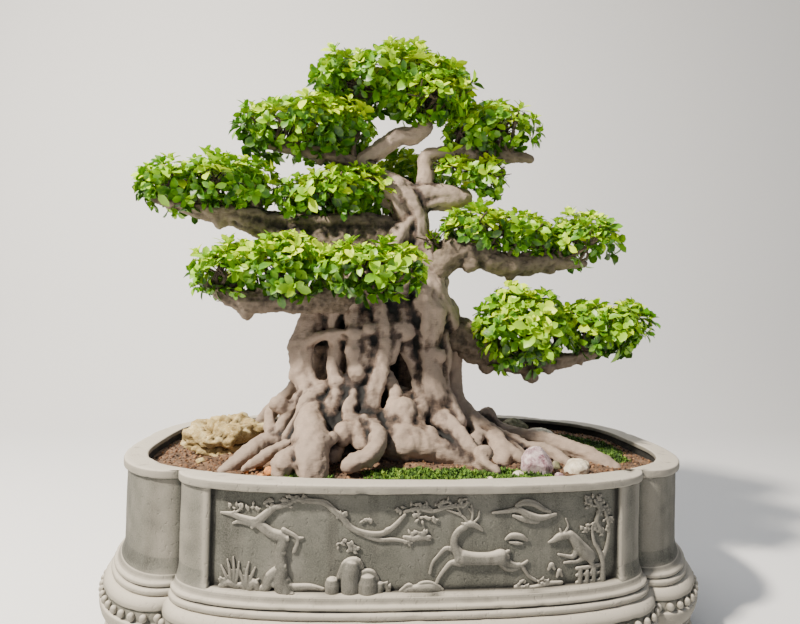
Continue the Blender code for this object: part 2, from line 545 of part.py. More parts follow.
def tube_mesh(points):
    """A round limb along a route, with a ball at each end."""
    curve = bpy.data.curves.new("limb", "CURVE")
    curve.dimensions = "3D"
    curve.bevel_depth = 1.0
    curve.bevel_resolution = 2
    curve.resolution_u = 3
    curve.use_fill_caps = True
    spline = curve.splines.new("BEZIER")
    spline.bezier_points.add(len(points) - 1)
    for knot, (x, y, z, radius) in zip(spline.bezier_points, points):
        knot.co = (x, y, z + RIM_Z)
        knot.radius = radius
        knot.handle_left_type = knot.handle_right_type = "AUTO"
    holder = bpy.data.objects.new("limb", curve)
    cutters.objects.link(holder)
    bpy.context.view_layer.update()
    depsgraph = bpy.context.evaluated_depsgraph_get()
    mesh = bpy.data.meshes.new_from_object(holder.evaluated_get(depsgraph))
    bpy.data.objects.remove(holder, do_unlink=True)
    work = bmesh.new()
    work.from_mesh(mesh)
    bmesh.ops.remove_doubles(work, verts=work.verts, dist=0.00001)
    for x, y, z, radius in (points[0], points[-1]):
        place = Matrix.Translation((x, y, z + RIM_Z))
        bmesh.ops.create_icosphere(work, subdivisions=1, radius=radius, matrix=place)
    work.to_mesh(mesh)
    work.free()
    return mesh


def fused(name, meshes, skin, finish):
    """Joins overlapping closed meshes into one skin of about the wanted triangle count."""
    work = bmesh.new()
    for mesh in meshes:
        work.from_mesh(mesh)
    whole = bpy.data.meshes.new(name)
    work.to_mesh(whole)
    work.free()
    obj = new_object(name, whole, finish=finish)
    remesh = obj.modifiers.new("remesh", "REMESH")
    remesh.mode = "VOXEL"
    remesh.voxel_size = skin[0]
    bake(obj)
    thin = obj.modifiers.new("thin", "DECIMATE")
    thin.ratio = min(1.0, skin[1] / (2.0 * len(obj.data.polygons)))
    bake(obj)
    obj.data.materials.clear()
    obj.data.materials.append(finish)
    return tidy(obj)


def make_trunk(soil):
    meshes = [tube_mesh([spread(p) for p in route]) for route in TRUNK_ROUTES.values()]
    trunk = fused("trunk_and_roots", meshes, TRUNK_SKIN, BARK)
    boolean(trunk, grown(soil))
    tidy(trunk)
    top = soil_height(*PLUG_CENTRE)
    for target, extra, height, operation in ((trunk, 0.0, 0.020, "UNION"), (soil, GAP, 0.030, "DIFFERENCE")):
        plug = to_cutter(cylinder("plug", 1.0, top - PLUG_DEPTH - extra, top + height, (0, 0), 24))
        for vert in plug.data.vertices:
            vert.co.x = vert.co.x * (PLUG_HALF_LENGTH + extra) + PLUG_CENTRE[0]
            vert.co.y = vert.co.y * (PLUG_HALF_DEPTH + extra) + PLUG_CENTRE[1]
        boolean(target, plug, operation)
        tidy(target)
    return trunk


def make_branches(trunk):
    made = []
    around = grown(trunk)
    for name, routes in BRANCH_ROUTES.items():
        branch = fused(name, [tube_mesh(route) for route in routes], BRANCH_SKIN, BARK)
        boolean(branch, around)
        tidy(branch)
        for other in made:
            if near(branch, other):
                boolean(branch, grown(other))
                tidy(branch)
        made.append(branch)
    return made


def lump_mesh(centre, halves, rough=0.10, seed=0.0, detail=2):
    """An egg-shaped lump with a gently uneven skin."""
    work = bmesh.new()
    bmesh.ops.create_icosphere(work, subdivisions=detail, radius=1.0)
    for vert in work.verts:
        wave = noise.noise(vert.co * 1.7 + Vector((seed, 0, 0)))
        vert.co *= 1 + rough * wave
        vert.co = Vector(vert.co[k] * halves[k] + centre[k] for k in range(3))
    mesh = bpy.data.meshes.new("lump")
    work.to_mesh(mesh)
    work.free()
    return mesh


def make_pads(wood):
    made = []
    for name, lumps in PADS.items():
        meshes = [lump_mesh((x, y, z + RIM_Z), (a, b, c), 0.12, x * 9)
                  for x, y, z, a, b, c in lumps]
        pad = fused(name, meshes, PAD_SKIN, LEAVES)
        for other in wood + made:
            if near(pad, other):
                boolean(pad, grown(other))
                tidy(pad)
        made.append(pad)
    return made


# ---- what lies on the soil: (share of the bore's half length, half depth), half sizes, sink ----
GROUND = {
    "porous_rock": ((-0.700, -0.200), (0.080, 0.050, 0.058), -0.006, POROUS, 0.28),
    "mossy_stone": ((0.560, 0.480), (0.036, 0.030, 0.034), 0.004, STONE, 0.20),
    "flat_stone": ((0.680, 0.400), (0.036, 0.028, 0.022), 0.004, STONE, 0.20),
    "quartz_stone": ((0.450, -0.655), (0.034, 0.032, 0.042), 0.004, QUARTZ, 0.20),
    "cream_stone": ((0.610, -0.620), (0.026, 0.022, 0.022), 0.003, POROUS, 0.20),
    "moss_front": ((0.090, -0.740), (0.170, 0.060, 0.022), 0.002, MOSS, 0.10),
    "moss_right": ((0.720, 0.060), (0.130, 0.130, 0.024), 0.002, MOSS, 0.10),
    "moss_back_left": ((-0.580, 0.560), (0.100, 0.060, 0.022), 0.002, MOSS, 0.10),
}


def make_ground(soil, trunk):
    made = []
    bed = grown(soil)
    roots = grown(trunk)
    for name, (place, halves, rise, finish, rough) in GROUND.items():
        x, y = place[0] * BORE_HALF_LENGTH, place[1] * BORE_HALF_DEPTH
        centre = (x, y, soil_height(x, y) + rise)
        mesh = lump_mesh(centre, halves, rough, x * 11)
        piece = new_object(name, mesh, finish=finish)
        for other in [bed, roots] + [grown(item) for item in made if near(piece, item)]:
            if near(piece, other):
                boolean(piece, other)
                tidy(piece)
        made.append(piece)
    return made


# ---- mortar reliefs: strokes as (along the panel, height above its lower edge, radius) ----
DRAWN_HALF = {"long": 0.380, "end": 0.120}         # panel sizes that the strokes are drawn for
DRAWN_HEIGHT = {"long": 0.176, "end": 0.140}
RELIEFS = {
    ("relief_front_pine", "front"): [
        [(-0.265, 0.004, 0.014), (-0.252, 0.045, 0.011), (-0.262, 0.080, 0.012), (-0.262, 0.100, 0.011),
         (-0.300, 0.125, 0.009), (-0.330, 0.140, 0.006), (-0.368, 0.148, 0.004)],
        [(-0.262, 0.100, 0.010), (-0.285, 0.140, 0.009), (-0.250, 0.160, 0.007), (-0.220, 0.170, 0.006)],
        [(-0.250, 0.158, 0.006), (-0.205, 0.163, 0.006), (-0.165, 0.140, 0.006), (-0.120, 0.112, 0.006),
         (-0.080, 0.110, 0.005), (-0.040, 0.142, 0.004)],
        [(-0.265, 0.004, 0.010), (-0.300, 0.006, 0.008), (-0.320, 0.006, 0.005)],
        [(-0.265, 0.004, 0.010), (-0.225, 0.006, 0.008), (-0.200, 0.006, 0.005)]],
    ("relief_front_grass", "front"): [
        [(-0.345, 0.006, 0.005), (-0.362, 0.050, 0.003)], [(-0.343, 0.006, 0.005), (-0.345, 0.066, 0.003)],
        [(-0.341, 0.006, 0.005), (-0.326, 0.060, 0.003)], [(-0.346, 0.006, 0.005), (-0.372, 0.030, 0.003)]],
    ("relief_front_rocks", "front"): [
        [(-0.170, 0.012, 0.016), (-0.140, 0.030, 0.018), (-0.118, 0.014, 0.016)],
        [(-0.118, 0.010, 0.010), (-0.060, 0.008, 0.006), (0.000, 0.008, 0.005)]],
    ("relief_front_deer", "front"): [
        [(0.062, 0.052, 0.012), (0.100, 0.047, 0.010), (0.140, 0.050, 0.013)],
        [(0.062, 0.054, 0.010), (0.048, 0.078, 0.007), (0.056, 0.104, 0.006), (0.078, 0.112, 0.007)],
        [(0.070, 0.112, 0.003), (0.060, 0.134, 0.003)], [(0.072, 0.114, 0.003), (0.078, 0.138, 0.003)],
        [(0.060, 0.046, 0.006), (0.036, 0.036, 0.004), (0.022, 0.012, 0.004)],
        [(0.058, 0.056, 0.006), (0.026, 0.056, 0.004), (0.012, 0.034, 0.004)],
        [(0.142, 0.046, 0.008), (0.170, 0.040, 0.005), (0.196, 0.018, 0.004)]],
    ("relief_front_clouds", "front"): [
        [(-0.020, 0.060, 0.010), (0.010, 0.090, 0.008), (0.000, 0.130, 0.010)],
        [(0.000, 0.130, 0.008), (0.060, 0.160, 0.006), (0.110, 0.152, 0.010), (0.170, 0.150, 0.012),
         (0.215, 0.152, 0.010)]],
    ("relief_front_second_deer", "front"): [
        [(0.250, 0.070, 0.012), (0.290, 0.060, 0.011), (0.318, 0.064, 0.012)],
        [(0.250, 0.074, 0.009), (0.240, 0.104, 0.006), (0.224, 0.110, 0.006)],
        [(0.250, 0.062, 0.006), (0.240, 0.020, 0.004)], [(0.318, 0.058, 0.007), (0.330, 0.018, 0.004)]],
    ("relief_front_trees", "front"): [
        [(0.345, 0.004, 0.010), (0.352, 0.090, 0.008), (0.335, 0.140, 0.014), (0.290, 0.150, 0.012)],
        [(0.352, 0.090, 0.008), (0.362, 0.150, 0.010)]],
    ("relief_back_pine", "back"): [
        [(-0.245, 0.004, 0.014), (-0.235, 0.060, 0.011), (-0.262, 0.110, 0.011), (-0.320, 0.140, 0.007)],
        [(-0.240, 0.070, 0.010), (-0.190, 0.130, 0.008), (-0.110, 0.145, 0.007), (-0.040, 0.120, 0.005)]],
    ("relief_back_rocks", "back"): [
        [(-0.060, 0.012, 0.015), (-0.020, 0.032, 0.018), (0.030, 0.014, 0.016), (0.120, 0.010, 0.008)]],
    ("relief_back_bamboo", "back"): [
        [(0.240, 0.004, 0.008), (0.250, 0.080, 0.007), (0.235, 0.160, 0.006)],
        [(0.250, 0.080, 0.006), (0.300, 0.130, 0.006), (0.340, 0.150, 0.008)],
        [(0.238, 0.140, 0.006), (0.180, 0.156, 0.008)]],
    ("relief_left_plum", "left"): [
        [(-0.060, 0.008, 0.010), (-0.020, 0.060, 0.008), (0.020, 0.090, 0.007), (0.060, 0.118, 0.006)],
        [(-0.020, 0.060, 0.007), (-0.060, 0.100, 0.006)]],
    ("relief_right_plum", "right"): [
        [(0.060, 0.008, 0.010), (0.020, 0.060, 0.008), (-0.020, 0.090, 0.007), (-0.060, 0.118, 0.006)],
        [(0.020, 0.060, 0.007), (0.060, 0.100, 0.006)]],
}


def on_panel(side, along, out, height):
    """World place of a point on a panel: along it, out from its floor, up from its lower edge."""
    kind = "long" if side in LONG_SIDES else "end"
    foot = panel_face(along / DRAWN_HALF[kind], side) + Vector(OUT_WAYS[side]) * out
    tall = (panel_high(side) - panel_low(side)) / DRAWN_HEIGHT[kind]
    return Vector((foot.x, foot.y, panel_low(side) + height * tall))


def make_reliefs(pot):
    wall = grown(pot)
    for (name, side), strokes in RELIEFS.items():
        meshes = [tube_mesh([(x, 0.0, z - RIM_Z, radius) for x, z, radius in stroke])
                  for stroke in strokes]
        relief = fused(name, meshes, RELIEF_SKIN, MORTAR)
        for vert in relief.data.vertices:
            vert.co = on_panel(side, vert.co.x, -vert.co.y * RELIEF_FLATTEN, vert.co.z)
        tidy(relief)
        boolean(relief, wall)
        tidy(relief)


def build():
    make_plinth()
    make_reliefs(make_pot())
    soil = make_filling()
    trunk = make_trunk(soil)
    branches = make_branches(trunk)
    make_pads([trunk] + branches)
    make_ground(soil, trunk)
    for obj in list(cutters.objects):
        bpy.data.objects.remove(obj, do_unlink=True)
    for obj in parts.objects:
        obj.data.shade_smooth()
        obj.data.set_sharp_from_angle(angle=math.radians(35))


build()
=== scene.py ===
import json
import math
import random

import bmesh
import bpy
import numpy as np
from mathutils import Matrix, Quaternion, Vector, noise

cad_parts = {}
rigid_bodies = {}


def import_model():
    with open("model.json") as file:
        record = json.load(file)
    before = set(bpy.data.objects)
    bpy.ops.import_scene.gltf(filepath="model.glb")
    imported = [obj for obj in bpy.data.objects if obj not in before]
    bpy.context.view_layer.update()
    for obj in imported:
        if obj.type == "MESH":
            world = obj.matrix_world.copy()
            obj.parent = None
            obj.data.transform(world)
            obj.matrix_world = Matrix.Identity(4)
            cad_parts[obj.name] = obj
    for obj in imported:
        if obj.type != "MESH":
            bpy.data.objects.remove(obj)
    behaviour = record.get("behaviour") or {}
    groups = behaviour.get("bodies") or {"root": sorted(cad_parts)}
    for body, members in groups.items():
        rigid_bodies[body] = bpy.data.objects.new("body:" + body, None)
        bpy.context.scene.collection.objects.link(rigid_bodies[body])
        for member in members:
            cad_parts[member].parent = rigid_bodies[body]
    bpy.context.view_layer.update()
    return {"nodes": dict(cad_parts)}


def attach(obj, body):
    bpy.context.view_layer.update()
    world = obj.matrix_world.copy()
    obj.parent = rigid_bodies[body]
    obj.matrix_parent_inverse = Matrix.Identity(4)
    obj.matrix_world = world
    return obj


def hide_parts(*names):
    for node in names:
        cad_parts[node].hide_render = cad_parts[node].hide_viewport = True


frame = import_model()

print("frame loaded:", len(frame["nodes"]), "nodes")


def linear(hexColour):
    values = [int(hexColour[k:k + 2], 16) / 255 for k in (1, 3, 5)]
    return tuple(v / 12.92 if v <= 0.04045 else ((v + 0.055) / 1.055) ** 2.4 for v in values) + (1.0,)


def firstOutput(node):
    return next(socket for socket in node.outputs if socket.enabled) if isinstance(node, bpy.types.Node) else node


def addNode(tree, kind, inputs=None, stops=None, **settings):
    # an input takes a value, a hex colour, a socket, or a node whose first output in use is linked
    node = tree.nodes.new(kind)
    for name, value in settings.items():
        setattr(node, name, value)
    if stops:                                   # colour ramp: (place, hex colour or grey)
        ramp = node.color_ramp
        while len(ramp.elements) < len(stops):
            ramp.elements.new(0.5)
        for element, (place, shade) in zip(ramp.elements, stops):
            element.position = place
            element.color = linear(shade) if isinstance(shade, str) else (shade, shade, shade, 1)
    for name, value in (inputs or {}).items():
        value = firstOutput(value)
        if isinstance(value, bpy.types.NodeSocket):
            tree.links.new(value, node.inputs[name])
        else:
            isColour = isinstance(value, str) and value.startswith("#")
            node.inputs[name].default_value = linear(value) if isColour else value
    return node


def newMesh(name, points, faces):
    mesh = bpy.data.meshes.new(name)
    mesh.from_pydata([tuple(p) for p in points], [], faces)
    mesh.update()
    return mesh


def newObject(name, mesh):
    made = bpy.data.objects.new(name, mesh)
    bpy.context.scene.collection.objects.link(made)
    return made


def fromBmesh(name, work):
    mesh = bpy.data.meshes.new(name)
    work.to_mesh(mesh)
    work.free()
    return newObject(name, mesh)


def pointsAndFaces(work):
    shape = [tuple(v.co) for v in work.verts], [tuple(v.index for v in f.verts) for f in work.faces]
    work.free()
    return shape


def facedOut(obj, merge=False):
    work = bmesh.new()
    work.from_mesh(obj.data)
    if merge:
        bmesh.ops.remove_doubles(work, verts=work.verts, dist=1e-6)
    bmesh.ops.recalc_face_normals(work, faces=work.faces)
    work.to_mesh(obj.data)
    work.free()
    return obj


def removeUnits(units):
    for unit in list(units):
        bpy.data.objects.remove(unit, do_unlink=True)


def pieceName(start, node):
    # foliage + leaves_far_left gives foliageFarLeft
    return start + "".join(word.capitalize() for word in node.split("_")[1:])


def frozen(obj, name=None):
    # reads the evaluated mesh back as a plain mesh, and drops the modifiers
    bpy.context.view_layer.update()
    mesh = bpy.data.meshes.new_from_object(obj.evaluated_get(bpy.context.evaluated_depsgraph_get()))
    obj.modifiers.clear()
    obj.data = mesh
    if name:
        obj.name = mesh.name = name
    return obj


def finished(obj, finish, slot, nodes=(), smooth=True):
    mesh = obj.data
    mesh.materials.clear()
    mesh.materials.append(finish)
    mesh.polygons.foreach_set("material_index", [0] * len(mesh.polygons))
    if smooth:
        mesh.polygons.foreach_set("use_smooth", [True] * len(mesh.polygons))
    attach(obj, "root")
    if nodes:
        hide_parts(*nodes)
    return obj


def readCo(mesh):
    co = np.empty(len(mesh.vertices) * 3, np.float32)
    mesh.vertices.foreach_get("co", co)
    return co.reshape(-1, 3)


def markProud(mesh, rounds=8, reach=0.004, broadRounds=0, broadReach=0.012):
    # how far each point stands out of its surroundings: 0 in a hollow, 1 on a ridge
    co = readCo(mesh)
    count = len(co)
    normals = np.empty(count * 3, np.float32)
    mesh.vertex_normals.foreach_get("vector", normals)
    normals = normals.reshape(-1, 3)
    ends = np.empty(len(mesh.edges) * 2, np.int32)
    mesh.edges.foreach_get("vertices", ends)
    a, b = ends[0::2], ends[1::2]
    degree = np.maximum(np.bincount(ends, minlength=count), 1)

    def softened(soft, times):
        for _ in range(times):
            soft = np.stack([(np.bincount(a, soft[b, k], count) + np.bincount(b, soft[a, k], count)) / degree
                             for k in range(3)], 1)
        return soft

    soft = softened(co.astype(float), rounds)
    out = ((co - soft) * normals).sum(1) / reach
    if broadRounds:                             # and out of its wider surroundings
        out = out * 0.45 + ((co - softened(soft, broadRounds)) * normals).sum(1) / broadReach
    layer = mesh.attributes.new("proud", "FLOAT", "POINT")
    layer.data.foreach_set("value", np.clip(out * 0.5 + 0.5, 0, 1).astype(np.float32))


# camera, light and floor
view = {"place": (-0.137, -1.424, 0.674), "forward": (0.0830, 0.9964, 0.0171), "roll": 1.216, "lens": 25.2}
lamps = {
    "key": {"place": (-2.95, -2.05, 3.95), "size": 0.38, "watts": 800, "colour": "#FFF4E4"},
    "fill": {"place": (2.6, -3.2, 1.6), "size": 2.6, "watts": 22, "colour": "#D4E0F5"},
    "top": {"place": (-0.3, 0.6, 3.6), "size": 2.0, "watts": 26, "colour": "#F0F4FF"},
}
stage = {"floor": "#ECEDEE", "back": 3.2, "half": 6.0, "bend": 1.2, "bendSteps": 12, "aimHeight": 0.55,
         "sky": "#DDE3EA", "skyStrength": 0.26}


def makeStage():
    cameraData = bpy.data.cameras.new("camera")
    cameraData.lens = view["lens"]
    cameraData.sensor_width = 36
    cameraData.clip_end = 60
    camera = newObject("camera", cameraData)
    turn = Vector(view["forward"]).to_track_quat("-Z", "Y")
    camera.rotation_mode = "QUATERNION"
    camera.rotation_quaternion = turn @ Quaternion((0, 0, 1), math.radians(view["roll"]))
    camera.location = view["place"]
    bpy.context.scene.camera = camera
    for name, lamp in lamps.items():
        light = bpy.data.lights.new(name, "AREA")
        light.size = lamp["size"]
        light.energy = lamp["watts"]
        light.color = linear(lamp["colour"])[:3]
        holder = newObject(name + "Light", light)
        holder.location = lamp["place"]
        aim = Vector((0, 0, stage["aimHeight"])) - Vector(lamp["place"])
        holder.rotation_euler = aim.to_track_quat("-Z", "Y").to_euler()
    world = bpy.data.worlds.new("world")
    bpy.context.scene.world = world
    world.use_nodes = True
    sky = world.node_tree.nodes["Background"]
    sky.inputs["Color"].default_value = linear(stage["sky"])
    sky.inputs["Strength"].default_value = stage["skyStrength"]
    # one sweep: floor, a bend, and a wall
    points = [(-stage["half"], 0.0), (stage["back"] - stage["bend"], 0.0)]
    for k in range(1, stage["bendSteps"] + 1):
        turn = math.pi / 2 * k / stage["bendSteps"]
        points.append((stage["back"] - stage["bend"] + stage["bend"] * math.sin(turn),
                       stage["bend"] * (1 - math.cos(turn))))
    points.append((stage["back"], stage["half"]))
    verts = [(side * stage["half"], y, z) for y, z in points for side in (-1, 1)]
    faces = [(2 * k, 2 * k + 1, 2 * k + 3, 2 * k + 2) for k in range(len(points) - 1)]
    sweep = newObject("floorSweep", newMesh("floorSweep", verts, faces))
    sweep.data.polygons.foreach_set("use_smooth", [True] * len(sweep.data.polygons))
    paper = bpy.data.materials.new("paintedStudioSweep")
    paper.use_nodes = True
    shader = paper.node_tree.nodes["Principled BSDF"]
    shader.inputs["Base Color"].default_value = linear(stage["floor"])
    shader.inputs["Roughness"].default_value = 0.9
    sweep.data.materials.append(paper)


makeStage()
print("stage done")


# materials
def startMaterial(name, roughness):
    made = bpy.data.materials.new(name)
    made.use_nodes = True
    tree = made.node_tree
    tree.nodes["Principled BSDF"].inputs["Roughness"].default_value = roughness
    return made, tree, addNode(tree, "ShaderNodeTexCoord").outputs["Object"]


def endMaterial(made, colour, bump=None):
    tree = made.node_tree
    shader = tree.nodes["Principled BSDF"]
    tree.links.new(firstOutput(colour), shader.inputs["Base Color"])
    if bump:
        tree.links.new(firstOutput(bump), shader.inputs["Normal"])
    return made


def coat(tree, under, colour, value, start, end, way="MIX"):
    # one coat over another, as dense as the value says between two (place, density) stops
    density = addNode(tree, "ShaderNodeValToRGB", {"Fac": value}, [start, end])
    return addNode(tree, "ShaderNodeMix", {"Factor": density, "A": under, "B": colour}, data_type="RGBA",
                   blend_type=way)


def castConcrete(name, look):
    # sand and cement cast in a mould, years outdoors: dull, pale on ridges, rain streaks below the lip
    made, tree, coords = startMaterial(name, 0.88)
    wide = addNode(tree, "ShaderNodeTexNoise", {"Vector": coords, "Scale": 1 / look["blotch"], "Detail": 5,
                                                "Roughness": 0.55})
    base = addNode(tree, "ShaderNodeValToRGB", {"Fac": wide},
                   [(0.30, look["dark"]), (0.52, look["mid"]), (0.72, look["pale"])])
    runs = addNode(tree, "ShaderNodeMapping", {"Vector": coords, "Scale": (1, 1, 0.09)})    # long down the wall
    streak = addNode(tree, "ShaderNodeTexNoise", {"Vector": runs, "Scale": 1 / look["streak"], "Detail": 4,
                                                  "Roughness": 0.6})
    sand = addNode(tree, "ShaderNodeTexNoise", {"Vector": coords, "Scale": 1 / look["grit"], "Detail": 2,
                                                "Roughness": 0.7})
    pits = addNode(tree, "ShaderNodeTexNoise", {"Vector": coords, "Scale": 1 / look["pit"], "Detail": 2,
                                                "Roughness": 0.5})
    proud = addNode(tree, "ShaderNodeAttribute", attribute_name="proud").outputs["Fac"]
    normal = addNode(tree, "ShaderNodeNewGeometry").outputs["Normal"]
    up = addNode(tree, "ShaderNodeSeparateXYZ", {0: normal}).outputs["Z"]
    colour = coat(tree, base, look["stain"], streak, (0.50, 0.0), (0.68, 0.62), "MULTIPLY")
    colour = coat(tree, colour, look["speck"], sand, (0.35, 0.0), (0.65, 0.30))
    colour = coat(tree, colour, look["worn"], proud, (0.52, 0.0), (0.85, 0.75))
    # paler on faces that look up: partly sun bleaching, partly a painted highlight of the light from above
    colour = coat(tree, colour, look["bleachAndTopHighlight"], up, (0.35, 0.0), (0.90, 0.85))
    # darker in hollows and recesses: partly dirt, partly painted shade
    colour = coat(tree, colour, look["dirt"], proud, (0.12, 0.85), (0.47, 0.0), "MULTIPLY")
    holes = addNode(tree, "ShaderNodeValToRGB", {"Fac": pits}, [(0.28, 0.0), (0.40, 1.0)])
    rough = addNode(tree, "ShaderNodeBump", {"Height": sand, "Strength": 0.45, "Distance": look["grit"] * 0.35})
    pitted = addNode(tree, "ShaderNodeBump", {"Height": holes, "Strength": 0.5, "Distance": look["pit"] * 0.25,
                                              "Normal": rough})
    return endMaterial(made, colour, pitted)


def ficusBark(name, look):
    # living fig bark: thin and matte, mauve grey in shade; chalky tan on the ridges, partly where rain washes it and
    # partly a painted highlight; near black in the gaps, a painted shade
    made, tree, coords = startMaterial(name, 0.80)
    grains = []                                 # metres wide, detail, roughness, how it is drawn out
    for size, detail, roughness, stretch in ((0.110, 5, 0.55, (1, 1, 0.45)), (0.014, 5, 0.70, (1, 1, 0.55)),
                                             (0.005, 3, 0.60, (0.35, 0.35, 1.6))):
        drawn = addNode(tree, "ShaderNodeMapping", {"Vector": coords, "Scale": stretch})
        grains.append(addNode(tree, "ShaderNodeTexNoise", {"Vector": drawn, "Scale": 1 / size, "Detail": detail,
                                                           "Roughness": roughness}))
    wide, fine, rings = grains                  # the rings are wrinkles that run round the limb
    both = addNode(tree, "ShaderNodeMath", {0: wide, 1: fine}, operation="ADD")
    half = addNode(tree, "ShaderNodeMath", {0: both, 1: 0.5}, operation="MULTIPLY")
    base = addNode(tree, "ShaderNodeValToRGB", {"Fac": half},
                   [(0.36, look["dark"]), (0.48, look["mid"]), (0.61, look["pale"])])
    proud = addNode(tree, "ShaderNodeAttribute", attribute_name="proud").outputs["Fac"]
    colour = coat(tree, base, look["crack"], rings, (0.36, 0.42), (0.52, 0.0), "MULTIPLY")
    # pale coat on the ridges: partly chalky weathering, partly a painted highlight
    colour = coat(tree, colour, look["chalk"], proud, (0.50, 0.0), (0.85, look["wash"]))
    # painted shade: the hollows darkened to near black
    colour = coat(tree, colour, look["gap"], proud, (0.10, 1.0), (0.46, 0.0), "MULTIPLY")
    wrinkled = addNode(tree, "ShaderNodeBump", {"Height": rings, "Strength": 0.5, "Distance": 0.0022})
    bumpy = addNode(tree, "ShaderNodeBump", {"Height": fine, "Strength": 0.6, "Distance": 0.0030,
                                             "Normal": wrinkled})
    return endMaterial(made, colour, bumpy)


def tintedGrain(name, stops, roughness, lumps, depth):
    # small natural grains or blades: each takes its colour from its own tint
    made, tree, coords = startMaterial(name, roughness)
    tint = addNode(tree, "ShaderNodeAttribute", attribute_name="tint").outputs["Fac"]
    base = addNode(tree, "ShaderNodeValToRGB", {"Fac": tint}, stops)
    speck = addNode(tree, "ShaderNodeTexNoise", {"Vector": coords, "Scale": 1 / lumps, "Detail": 3,
                                                 "Roughness": 0.55})
    shade = addNode(tree, "ShaderNodeValToRGB", {"Fac": speck}, [(0.3, 0.55), (0.7, 1.0)])
    colour = addNode(tree, "ShaderNodeMix", {"Factor": 0.5, "A": base, "B": shade}, data_type="RGBA",
                     blend_type="MULTIPLY")
    return endMaterial(made, colour, addNode(tree, "ShaderNodeBump", {"Height": speck, "Strength": 0.6,
                                                                      "Distance": depth}))


def fieldStone(name, blotch, roughness, dark, mid, pale, fleck, gap):
    # natural stone or earth, never polished: mottled, with painted shade darkening its hollows; a blotch is in metres
    made, tree, coords = startMaterial(name, roughness)
    wide = addNode(tree, "ShaderNodeTexNoise", {"Vector": coords, "Scale": 1 / blotch, "Detail": 6,
                                                "Roughness": 0.65})
    fine = addNode(tree, "ShaderNodeTexNoise", {"Vector": coords, "Scale": 9 / blotch, "Detail": 3,
                                                "Roughness": 0.6})
    base = addNode(tree, "ShaderNodeValToRGB", {"Fac": wide}, [(0.34, dark), (0.50, mid), (0.64, pale)])
    proud = addNode(tree, "ShaderNodeAttribute", attribute_name="proud").outputs["Fac"]
    colour = coat(tree, base, fleck, fine, (0.55, 0.0), (0.70, 0.6))
    # painted shade: darker in the hollows
    colour = coat(tree, colour, gap, proud, (0.10, 0.9), (0.48, 0.0), "MULTIPLY")
    return endMaterial(made, colour, addNode(tree, "ShaderNodeBump", {"Height": fine, "Strength": 0.6,
                                                                      "Distance": blotch / 14}))


def waxyLeaf(name, look):
    # fig leaf: thick with a waxy skin, so a soft gloss on top; new leaves are lime, old ones deep green, and leaves on
    # upward-facing parts of a pad are paler, a painted light from above
    made, tree, coords = startMaterial(name, look["roughness"])
    tint, tone, along = (addNode(tree, "ShaderNodeAttribute", attribute_name=label).outputs["Fac"]
                         for label in ("tint", "leafTone", "along"))
    sway = addNode(tree, "ShaderNodeMath", {0: tone, 1: 0.36, 2: -0.18}, operation="MULTIPLY_ADD")
    ageAndPaintedLight = addNode(tree, "ShaderNodeMath", {0: tint, 1: sway}, operation="ADD")
    base = addNode(tree, "ShaderNodeValToRGB", {"Fac": ageAndPaintedLight},
                   [(0.02, look["old"]), (0.34, look["grown"]), (0.66, look["young"]), (0.95, look["new"])])
    rib = addNode(tree, "ShaderNodeValToRGB", {"Fac": along}, [(0.0, 0.72), (0.25, 1.0)])
    ribbed = addNode(tree, "ShaderNodeMix", {"Factor": 1.0, "A": base, "B": rib}, data_type="RGBA",
                     blend_type="MULTIPLY")
    mottle = addNode(tree, "ShaderNodeTexNoise", {"Vector": coords, "Scale": 1 / 0.012, "Detail": 2,
                                                  "Roughness": 0.55})
    return endMaterial(made, coat(tree, ribbed, look["young"], mottle, (0.45, 0.0), (0.75, 0.35)))


potConcrete = castConcrete("weatheredCastConcrete", {
    "blotch": 0.11, "streak": 0.035, "grit": 0.0026, "pit": 0.009,   # real grit is under 1 mm, drawn coarser to show
    "dark": "#353731", "mid": "#4A4B44", "pale": "#62615A", "stain": "#62625B", "speck": "#7E7B72",
    "worn": "#8E897E", "bleachAndTopHighlight": "#C4BDB0", "dirt": "#201F1B"})
reliefMortar = castConcrete("handLaidLimeMortar", {
    "blotch": 0.05, "streak": 0.020, "grit": 0.0022, "pit": 0.006,
    "dark": "#3C3D37", "mid": "#52514B", "pale": "#6B6860", "stain": "#62625B", "speck": "#838077",
    "worn": "#989286", "bleachAndTopHighlight": "#C4BDB0", "dirt": "#161511"})
rootBark = ficusBark("weatheredFigRootBark", {
    "dark": "#261B16", "mid": "#4A3C34", "pale": "#7A6656", "crack": "#4A3C34", "chalk": "#BFAB9A",
    "gap": "#0B0705", "wash": 0.52})
limbBark = ficusBark("greyFigLimbBark", {
    "dark": "#241E18", "mid": "#463C31", "pale": "#6E604F", "crack": "#4E4338", "chalk": "#8C7D6C",
    "gap": "#0F0C08", "wash": 0.48})
leafSkin = waxyLeaf("waxyFigLeaf", {"roughness": 0.42, "old": "#1E4A06", "grown": "#4C8504", "young": "#8FBE06",
                                    "new": "#CBE312"})
